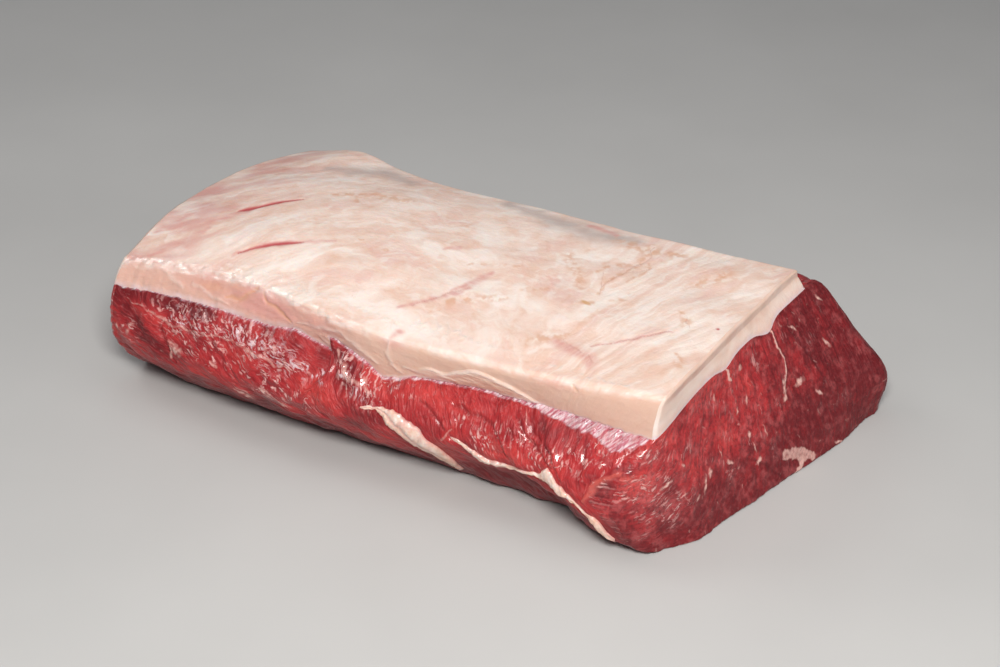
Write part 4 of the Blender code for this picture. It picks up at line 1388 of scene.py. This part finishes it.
def lean_material(settings):
    """Wet lean: reds from deep to bright, strands of pale sinew and dashes of sinew and painted glints along
    the fibres, silverskin and silvery hatching that is partly painted sheen, pale fat and patches of painted
    highlight, painted shade in folds, creases, clefts and grooves and low on the front and cut faces, and
    orange-red torn edges with painted highlights along the top and back edges of the cut faces."""
    mat, tree, shader = new_material("wet_lean")
    spot = here(tree)
    fibre = field(tree, "fibre")
    wet, hatch, cut, silver = (layer(tree, name) for name in ("wet", "hatch", "cut", "silver"))
    off_joint = remap(tree, away(tree, cut, 0.5), 0.35, 0.5)
    strand = blend(tree, off_joint, 0.5, grain(tree, fibre, (0.42, 0.06, 1), 3))
    hair = grain(tree, fibre, (1.25, 0.16, 1), 2)
    hair = blend(tree, times(tree, cut, 0.6), hair, noise(tree, spot, 420, 3))
    hair = blend(tree, off_joint, 0.5, hair)
    speck = noise(tree, spot, 900, 2)
    tone = layer(tree, "tone")
    tone = maths(tree, "ADD", tone, remap(tree, noise(tree, spot, 55, 3), 0.3, 0.7, -0.16, 0.16))
    tone = maths(tree, "ADD", tone, remap(tree, strand, 0.3, 0.7, -0.2, 0.2))

    lines = grain(tree, drifted(tree, fibre, spot, 170, (3.6, 9.0, 0.0)), (1.2, 0.14, 1), 3)
    broken = remap(tree, noise(tree, spot, 210, 3), 0.44, 0.58)
    between_lines = times(tree, hatch, remap(tree, lines, 0.50, 0.34))
    # the silver hatching is partly silvery threads, partly painted sheen of the wet surface
    hatching = times(tree, hatch, broken, remap(tree, lines, 0.48, 0.58))
    # painted glints: pale dashes and crests along the fibres where the surface is wet, partly sinew, partly
    # painted highlights
    bent = drifted(tree, fibre, spot, 300, (2.4, 5.0, 0.0))
    crest = remap(tree, away(tree, grain(tree, bent, (0.40, 0.085, 1), 2), 0.5), 0.035, 0.008)
    crest = times(tree, crest, remap(tree, noise(tree, spot, 230, 2), 0.48, 0.58))
    sinew_and_glint = maths(tree, "MAXIMUM", dashes(tree, bent, (0.50, 0.13, 0), 0.36, 0.6), crest)
    sinew_and_glint = times(tree, sinew_and_glint, remap(tree, wet, 0.15, 0.7), off_joint, remap(tree, cut, 0.0, 1.0, 1.0, 0.8))
    pale = times(tree, layer(tree, "pale"), remap(tree, noise(tree, spot, 500, 2), 0.2, 0.5, 0.7, 1.0))

    turned = add(tree, "Mapping", {"Vector": spot, "Rotation": (0, SKIN_TURN, 0)}).outputs["Vector"]
    wrinkle = grain(tree, turned, (150, 220, 1100), 5)
    skin = mix(tree, remap(tree, wrinkle, 0.41, 0.60), settings.skin_pink, settings.silver)
    thin = remap(tree, grain(tree, turned, (60, 60, 260), 3), 0.3, 0.6, 0.35, 1.0)
    color = tinted(tree, mix(tree, remap(tree, tone, 0.0, 0.5), settings.deep_red, settings.red), (
        (tone, 0.5, 1.0, 1.0, settings.bright_red),
        (hair, 0.53, 0.74, 0.38, settings.pink),
        (hair, 0.47, 0.24, 0.45, settings.dark_red),
        (speck, 0.56, 0.75, 0.25, settings.dark_red),
        (times(tree, cut, noise(tree, spot, 170, 4)), 0.50, 0.66, 0.34, settings.pink),
        (times(tree, cut, noise(tree, spot, 480, 3)), 0.50, 0.64, 0.46, settings.dark_red),
        (between_lines, 0.0, 1.0, 0.35, settings.dark_red),
        (hatching, 0.0, 1.0, 0.80, settings.silver),
        (sinew_and_glint, 0.1, 0.9, 0.78, settings.sinew_and_glint_pink),
        ("dark", 0.1, 0.9, 0.7, settings.dark_red),
        (pale, 0.22, 0.85, 0.85, settings.marbling),
        (times(tree, silver, thin), 0.0, 1.0, 1.0, skin),
        ("fringe", 0.2, 0.9, 0.62, settings.orange_red),
    ))
    shine = maths(tree, "ADD", wet, times(tree, sinew_and_glint, 0.4))
    feed(tree, shader, {
        "Base Color": color,
        "Roughness": remap(tree, shine, 0.1, 1.0, 0.52, 0.26),
        "Subsurface Weight": 0.10,
        "Subsurface Radius": (0.006, 0.0015, 0.001),
        "Coat Weight": remap(tree, maths(tree, "MAXIMUM", wet, hatch), 0.1, 0.9, 0.08, 0.85),
        "Coat Roughness": 0.08,
        "Specular IOR Level": 0.28,
        "Normal": bumped(tree, (
            (hair, 0.0006),
            (strand, 0.0008),
            (times(tree, hatch, off_joint, lines), 0.0006),
            (times(tree, silver, wrinkle), 0.0009),
            (sinew_and_glint, 0.00025),
            (times(tree, wet, noise(tree, spot, 430, 2)), 0.00045),
            (speck, 0.00012),
        )),
    })
    return mat


def fat_material(settings):
    """Fat cap: cream with peach and white streaks, pink stains, tan smears, grey painted shade near the back,
    cuts with blood, painted highlights along the crease, lip and folds, and a moist lilac lower edge."""
    mat, tree, shader = new_material("cap_fat")
    spot = here(tree)
    run = field(tree, "flow")
    wet = layer(tree, "wet")
    mottle = noise(tree, spot, 120, 4)
    bent = drifted(tree, run, spot, 50, (26.0, 26.0, 0.0))
    band = grain(tree, bent, (0.052, 0.024, 1), 3)
    cloud = grain(tree, bent, (0.13, 0.085, 1), 3)
    thread = grain(tree, run, (0.5, 0.10, 1), 4)
    warmth = remap(tree, noise(tree, spot, 24, 3), 0.35, 0.68)
    color = tinted(tree, mix(tree, warmth, settings.cream, settings.peach), (
        (band, 0.48, 0.64, 0.75, settings.white),
        (band, 0.46, 0.32, 0.62, settings.rose),
        (cloud, 0.52, 0.66, 0.50, settings.white),
        (cloud, 0.44, 0.30, 0.28, settings.tan),
        (thread, 0.54, 0.72, 0.08, settings.white),
        (thread, 0.45, 0.26, 0.05, settings.tan),
        (mottle, 0.54, 0.70, 0.30, settings.white),
        (mottle, 0.46, 0.32, 0.12, settings.tan),
        ("side", 0.0, 1.0, 0.86, settings.side_peach),
        ("grey", 0.05, 0.85, 0.68, settings.grey),
        ("blush", 0.05, 1.0, 0.78, settings.blush),
        ("tan", 0.1, 0.9, 0.62, settings.tan),
        ("vein", 0.2, 1.0, 0.34, settings.vein),
        ("white", 0.1, 0.9, 0.75, settings.white),
        ("lilac", 0.15, 1.0, 0.75, settings.lilac),
        ("stain", 0.35, 0.9, 0.75, settings.stain),
        ("blood", 0.12, 0.8, 0.92, settings.blood),
    ))
    sheen = maths(tree, "ADD", wet, remap(tree, mottle, 0.3, 0.7, 0.0, 0.22))
    feed(tree, shader, {
        "Base Color": color,
        "Roughness": remap(tree, sheen, 0.0, 1.1, 0.50, 0.20),
        "Subsurface Weight": 0.25,
        "Subsurface Radius": (0.008, 0.0045, 0.003),
        "Coat Weight": remap(tree, wet, 0.1, 0.9, 0.06, 1.0),
        "Coat Roughness": 0.14,
        "Specular IOR Level": 0.45,
        "Normal": bumped(tree, (
            (thread, 0.0002),
            (noise(tree, spot, 420, 3), 0.00022),
            (times(tree, wet, noise(tree, spot, 260, 3)), 0.0003),
            (noise(tree, spot, 1300, 2), 0.00006),
        )),
    })
    return mat


def seam_material(settings):
    """Seam fat: white on its back, peach toward its lower side, tan at its tail, pink where it thins out."""
    mat, tree, shader = new_material("seam_fat")
    spot = here(tree)
    mottle = noise(tree, spot, 260, 3)
    warmth = remap(tree, mottle, 0.35, 0.7)
    color = tinted(tree, mix(tree, warmth, settings.seam_white, settings.seam_peach), (
        ("low", 0.0, 1.0, 0.75, settings.seam_peach),
        (noise(tree, spot, 150, 3), 0.52, 0.66, 0.5, settings.blush),
        ("tail", 0.0, 1.0, 0.35, settings.tan),
        ("crack", 0.2, 1.0, 0.75, settings.blush),
        ("thin", 0.3, 1.0, 0.75, settings.blush),
    ))
    feed(tree, shader, {
        "Base Color": color,
        "Roughness": remap(tree, mottle, 0.3, 0.7, 0.28, 0.5),
        "Subsurface Weight": 0.25,
        "Subsurface Radius": (0.006, 0.003, 0.002),
        "Coat Weight": 0.5,
        "Coat Roughness": 0.12,
        "Normal": bumped(tree, ((noise(tree, spot, 700, 3), 0.0003),)),
    })
    return mat


def floor_material(color):
    """Plain matt floor, faintly clouded."""
    mat, tree, shader = new_material("pale_floor")
    clouds = remap(tree, noise(tree, here(tree), 6, 3), 0.3, 0.7)
    tone = mix(tree, clouds, color, tuple(0.94 * c for c in color))
    feed(tree, shader, {"Base Color": tone, "Roughness": 0.7})
    return mat


def finish_piece(piece, material, node):
    """Gives a piece its material and its body, and hides the solid of the node that it stands for."""
    piece.data.materials.append(material)
    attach(piece, BODY)
    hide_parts(node)


# ---- settings ----
def color_property(name, description, default):
    """A colour that a user may change."""
    return FloatVectorProperty(
        name=name, description=description, subtype="COLOR", min=0, max=1, default=default
    )


def power_property(name, description, default):
    """The power of a light."""
    return FloatProperty(name=name, description=description, unit="POWER", default=default)


def length_property(name, description, millimetres):
    """A length that a user may change."""
    return FloatProperty(name=name, description=description, unit="LENGTH", default=millimetres * MM)


def in_millimetres(length):
    """A length setting in the script's own millimetres, rounded because Blender keeps only seven digits."""
    return round(length / MM, 4)


def relief_property(description):
    """How strong a relief is, as a share of its own height."""
    return FloatProperty(name="Relief", description=description, subtype="FACTOR", min=0, max=2, default=1)


class LeanSettings(bpy.types.PropertyGroup):
    """Relief and colours of the lean meat."""

    relief: relief_property("Height of the fibres, folds, clefts and lumps of the lean")
    bright_red: color_property("Bright red", "Brightest patches of the lean", (0.56, 0.045, 0.042))
    red: color_property("Red", "Main colour of the lean", (0.40, 0.024, 0.028))
    # deep red and dark red also paint shade: deep red where the tone is lowered low on the front, on the
    # shade bands and toward the foot and back of the cut faces; dark red in creases, clefts and grooves
    deep_red: color_property("Deep red", "Deeper patches of the lean", (0.18, 0.010, 0.014))
    dark_red: color_property("Dark red", "Clefts and tucked-in parts", (0.08, 0.005, 0.008))
    # orange red also paints highlights along the top and back edges of a cut face
    orange_red: color_property("Orange red", "Torn thin edges", (0.64, 0.115, 0.09))
    pink: color_property("Pink", "Strands of the fibres", (0.60, 0.14, 0.14))
    # pale pink paints glints of the wet surface as well as sinew
    sinew_and_glint_pink: color_property("Pale pink", "Dashes of sinew", (0.82, 0.46, 0.43))
    # marbling also paints broad highlights on the front side
    marbling: color_property("Marbling", "Pale fat in the lean", (0.78, 0.47, 0.41))
    # silver also paints the hatching, partly as sheen of the wet surface
    silver: color_property("Silver", "Silverskin under the fat", (0.84, 0.71, 0.75))
    skin_pink: color_property("Skin pink", "Lean that shows through the silverskin", (0.52, 0.17, 0.22))


class FatSettings(bpy.types.PropertyGroup):
    """Sizes and colours of the fat."""

    relief: relief_property("Height of the creases, cuts and folds of the fat cap")
    seam_high: length_property("Seam height", "How far the seam fat stands out", SEAM_PROUD)
    seam_deep: length_property("Seam depth", "How far the seam fat reaches in", SEAM_DEEP)
    groove: length_property("Groove", "Depth of the furrow along the lobe of seam fat", LOBE_GROOVE)
    cream: color_property("Cream", "Main colour of the fat cap", (0.86, 0.67, 0.585))
    peach: color_property("Peach", "Warmer patches", (0.82, 0.58, 0.475))
    side_peach: color_property("Side peach", "Front band of the cap", (0.73, 0.465, 0.355))
    # white also paints the highlights along the crease, the lip and the folds
    white: color_property("White", "Palest spots", (0.94, 0.84, 0.78))
    rose: color_property("Rose", "Faint pink streaks", (0.80, 0.52, 0.46))
    blush: color_property("Blush", "Pink stains", (0.68, 0.31, 0.28))
    tan: color_property("Tan", "Orange-brown smears", (0.70, 0.37, 0.22))
    vein: color_property("Vein", "Thin brown-red lines", (0.45, 0.16, 0.11))
    # this grey paints shade along the back of the top
    grey: color_property("Grey", "Thin grey film near the back", (0.45, 0.375, 0.355))
    lilac: color_property("Lilac", "Membrane along the lower edge", (0.74, 0.60, 0.64))
    stain: color_property("Stain", "Orange-brown spot", (0.66, 0.34, 0.12))
    blood: color_property("Blood", "Blood in the cuts", (0.50, 0.05, 0.06))
    seam_white: color_property("Seam white", "Seam fat", (0.90, 0.74, 0.66))
    seam_peach: color_property("Seam peach", "Warmer seam fat", (0.80, 0.51, 0.39))


class StageSettings(bpy.types.PropertyGroup):
    """Floor, light and camera."""

    floor_color: color_property("Floor", "Plain pale floor", (0.55, 0.545, 0.535))
    turn: FloatProperty(name="Turn", description="Camera azimuth", subtype="ANGLE", default=np.radians(28))
    drop: FloatProperty(name="Drop", description="Camera elevation", subtype="ANGLE", default=np.radians(32))
    distance: FloatProperty(name="Distance", description="Camera to middle", unit="LENGTH", default=1.0957)
    lens: FloatProperty(name="Lens", description="Focal length on a 36 mm sensor", default=70.0)
    key_power: power_property("Key", "Power of the key light", 12.0)
    top_power: power_property("Top", "Power of the soft top light", 1.6)
    side_power: power_property("Side", "Power of the soft side light", 2.4)
    left_power: power_property("Left", "Power of the light on the left", 2.0)
    room: FloatProperty(name="Room", description="Strength of the light all round", default=0.16)


# ---- operators ----
# for each cut: prefix of its pieces' names, section, face, and the way that it looks along x
CUT_ENDS = (("", LAST, right_end, 1), ("far_", FIRST, left_end, -1))


class AddLeanBody(bpy.types.Operator):
    """Adds the body of lean meat with its fibres, silverskin, strands and torn edge"""

    bl_idname = "striploin.add_lean_body"
    bl_label = "Lean Body"

    def execute(self, context):
        settings = context.scene.striploin_lean
        section = np.linspace(FIRST, LAST, STATIONS)[:, None]
        piece = closed_tube("lean_body", lean_body_layers(section, settings.relief), LIP)
        finish_piece(piece, lean_material(settings), "lean_meat")
        return {"FINISHED"}


class AddCutFaces(bpy.types.Operator):
    """Adds the two cut faces of the lean, with their grain and marbling"""

    bl_idname = "striploin.add_cut_faces"
    bl_label = "Cut Faces"

    def execute(self, context):
        settings = context.scene.striploin_lean
        material = bpy.data.materials.get("wet_lean") or lean_material(settings)
        pitch = (LAST - FIRST) / (STATIONS - 1)
        for prefix, section, end, sign in CUT_ENDS:
            near = np.sort(section - sign * pitch * np.arange(3))[:, None]
            ring = lean_body_layers(near, settings.relief)["place"][-1 if sign > 0 else 0]
            yz = patch(*lean_outline(ring, section))
            piece = closed_slab(prefix + "cut_face", cut_layers(yz, end, sign, settings.relief), sign)
            finish_piece(piece, material, "lean_meat")
        return {"FINISHED"}


class AddFatCap(bpy.types.Operator):
    """Adds the fat cap with its crease, lip, cuts and stains, and its two cut ends"""

    bl_idname = "striploin.add_fat_cap"
    bl_label = "Fat Cap"

    def execute(self, context):
        settings = context.scene.striploin_fat
        material = fat_material(settings)
        section = np.linspace(FIRST, LAST, FAT_STATIONS)[:, None]
        layers = fat_layers(section, settings.relief)
        rings = {FIRST: layers["place"][0].copy(), LAST: layers["place"][-1].copy()}
        pieces = [closed_tube("fat_cap_body", layers, LIP)]
        for prefix, section, end, sign in CUT_ENDS:
            yz = patch(*fat_outline(rings[section], section))
            layers = fat_cut_layers(yz, end, sign, settings.relief)
            pieces.append(closed_slab(prefix + "fat_cut", layers, sign))
        for piece in pieces:
            finish_piece(piece, material, "fat_cap")
        return {"FINISHED"}


class AddSeamFat(bpy.types.Operator):
    """Adds the two strips of seam fat on the front side"""

    bl_idname = "striploin.add_seam_fat"
    bl_label = "Seam Fat"

    def execute(self, context):
        settings = context.scene.striploin_fat
        material = seam_material(settings)
        high, deep = in_millimetres(settings.seam_high), in_millimetres(settings.seam_deep)
        lobe_groove = in_millimetres(settings.groove)
        for name, edges, groove in (("lobe", SEAM_LOBE, lobe_groove), ("strip", SEAM_STRIP, 0.0)):
            piece = closed_tube("seam_" + name, seam_layers(edges, groove, high, deep))
            finish_piece(piece, material, "seam_fat_" + name)
        return {"FINISHED"}


def add_light(name, position, size, color, power):
    """Rectangular soft light that faces the middle of the meat."""
    data = bpy.data.lights.new(name, "AREA")
    data.shape = "RECTANGLE"
    data.size, data.size_y = size
    data.energy = power
    data.color = color
    light = bpy.data.objects.new(name, data)
    light.location = position
    light.rotation_euler = (Vector(LIGHT_AIM) - Vector(position)).to_track_quat("-Z", "Y").to_euler()
    bpy.context.scene.collection.objects.link(light)


def add_room(strength):
    """Faint even light from all round."""
    world = bpy.data.worlds.new("soft_room")
    world.use_nodes = True
    background = world.node_tree.nodes["Background"]
    background.inputs["Color"].default_value = ROOM_COLOR
    background.inputs["Strength"].default_value = strength
    bpy.context.scene.world = world


def add_camera(settings):
    """Camera that looks down at the middle of the meat from its `turn` and `drop`."""
    level = np.cos(settings.drop)
    ahead = Vector((-np.sin(settings.turn) * level, np.cos(settings.turn) * level, -np.sin(settings.drop)))
    target = Vector((CENTRE[0] * MM, CENTRE[1] * MM, CAMERA_AIM_Z))
    camera = bpy.data.objects.new("camera", bpy.data.cameras.new("camera"))
    camera.data.lens = settings.lens
    camera.data.sensor_width = SENSOR_WIDTH
    camera.location = target - ahead * settings.distance
    camera.rotation_euler = ahead.to_track_quat("-Z", "Y").to_euler()
    bpy.context.scene.collection.objects.link(camera)
    bpy.context.scene.camera = camera


class AddStage(bpy.types.Operator):
    """Adds the plain pale floor, soft studio light and the camera"""

    bl_idname = "striploin.add_stage"
    bl_label = "Stage"

    def execute(self, context):
        settings = context.scene.striploin_stage
        angle = np.linspace(0, 2 * np.pi, FLOOR_CORNERS, endpoint=False)
        rim = FLOOR_RADIUS * np.stack([np.cos(angle), np.sin(angle), 0 * angle], -1)
        mesh = bpy.data.meshes.new("floor")
        mesh.from_pydata(rim.tolist(), [], [tuple(range(FLOOR_CORNERS))])
        mesh.materials.append(floor_material(settings.floor_color))
        floor = bpy.data.objects.new("floor", mesh)
        context.scene.collection.objects.link(floor)
        for name, (position, size, color) in LIGHTS.items():
            add_light(name, position, size, color, getattr(settings, name + "_power"))
        add_room(settings.room)
        add_camera(settings)
        context.scene.view_settings.view_transform = "Standard"
        return {"FINISHED"}


class StriploinPanel(bpy.types.Panel):
    """Sidebar panel that lists the pieces and their settings"""

    bl_idname = "VIEW3D_PT_striploin"
    bl_label = "Striploin"
    bl_space_type = "VIEW_3D"
    bl_region_type = "UI"
    bl_category = "Striploin"

    def draw(self, context):
        for operator in OPERATORS:
            self.layout.operator(operator.bl_idname)
        for group in GROUPS:
            settings = getattr(context.scene, group)
            for key in settings.__annotations__:
                self.layout.prop(settings, key)


OPERATORS = (AddLeanBody, AddCutFaces, AddFatCap, AddSeamFat, AddStage)
GROUPS = {"striploin_lean": LeanSettings, "striploin_fat": FatSettings, "striploin_stage": StageSettings}


def register():
    for cls in (*GROUPS.values(), *OPERATORS, StriploinPanel):
        bpy.utils.register_class(cls)
    for key, cls in GROUPS.items():
        setattr(bpy.types.Scene, key, PointerProperty(type=cls))


def unregister():
    for key in GROUPS:
        delattr(bpy.types.Scene, key)
    for cls in (StriploinPanel, *reversed(OPERATORS), *reversed(GROUPS.values())):
        bpy.utils.unregister_class(cls)


def main():
    register()
    bpy.ops.striploin.add_lean_body()
    bpy.ops.striploin.add_cut_faces()
    bpy.ops.striploin.add_fat_cap()
    bpy.ops.striploin.add_seam_fat()
    bpy.ops.striploin.add_stage()


if __name__ == "__main__":
    main()
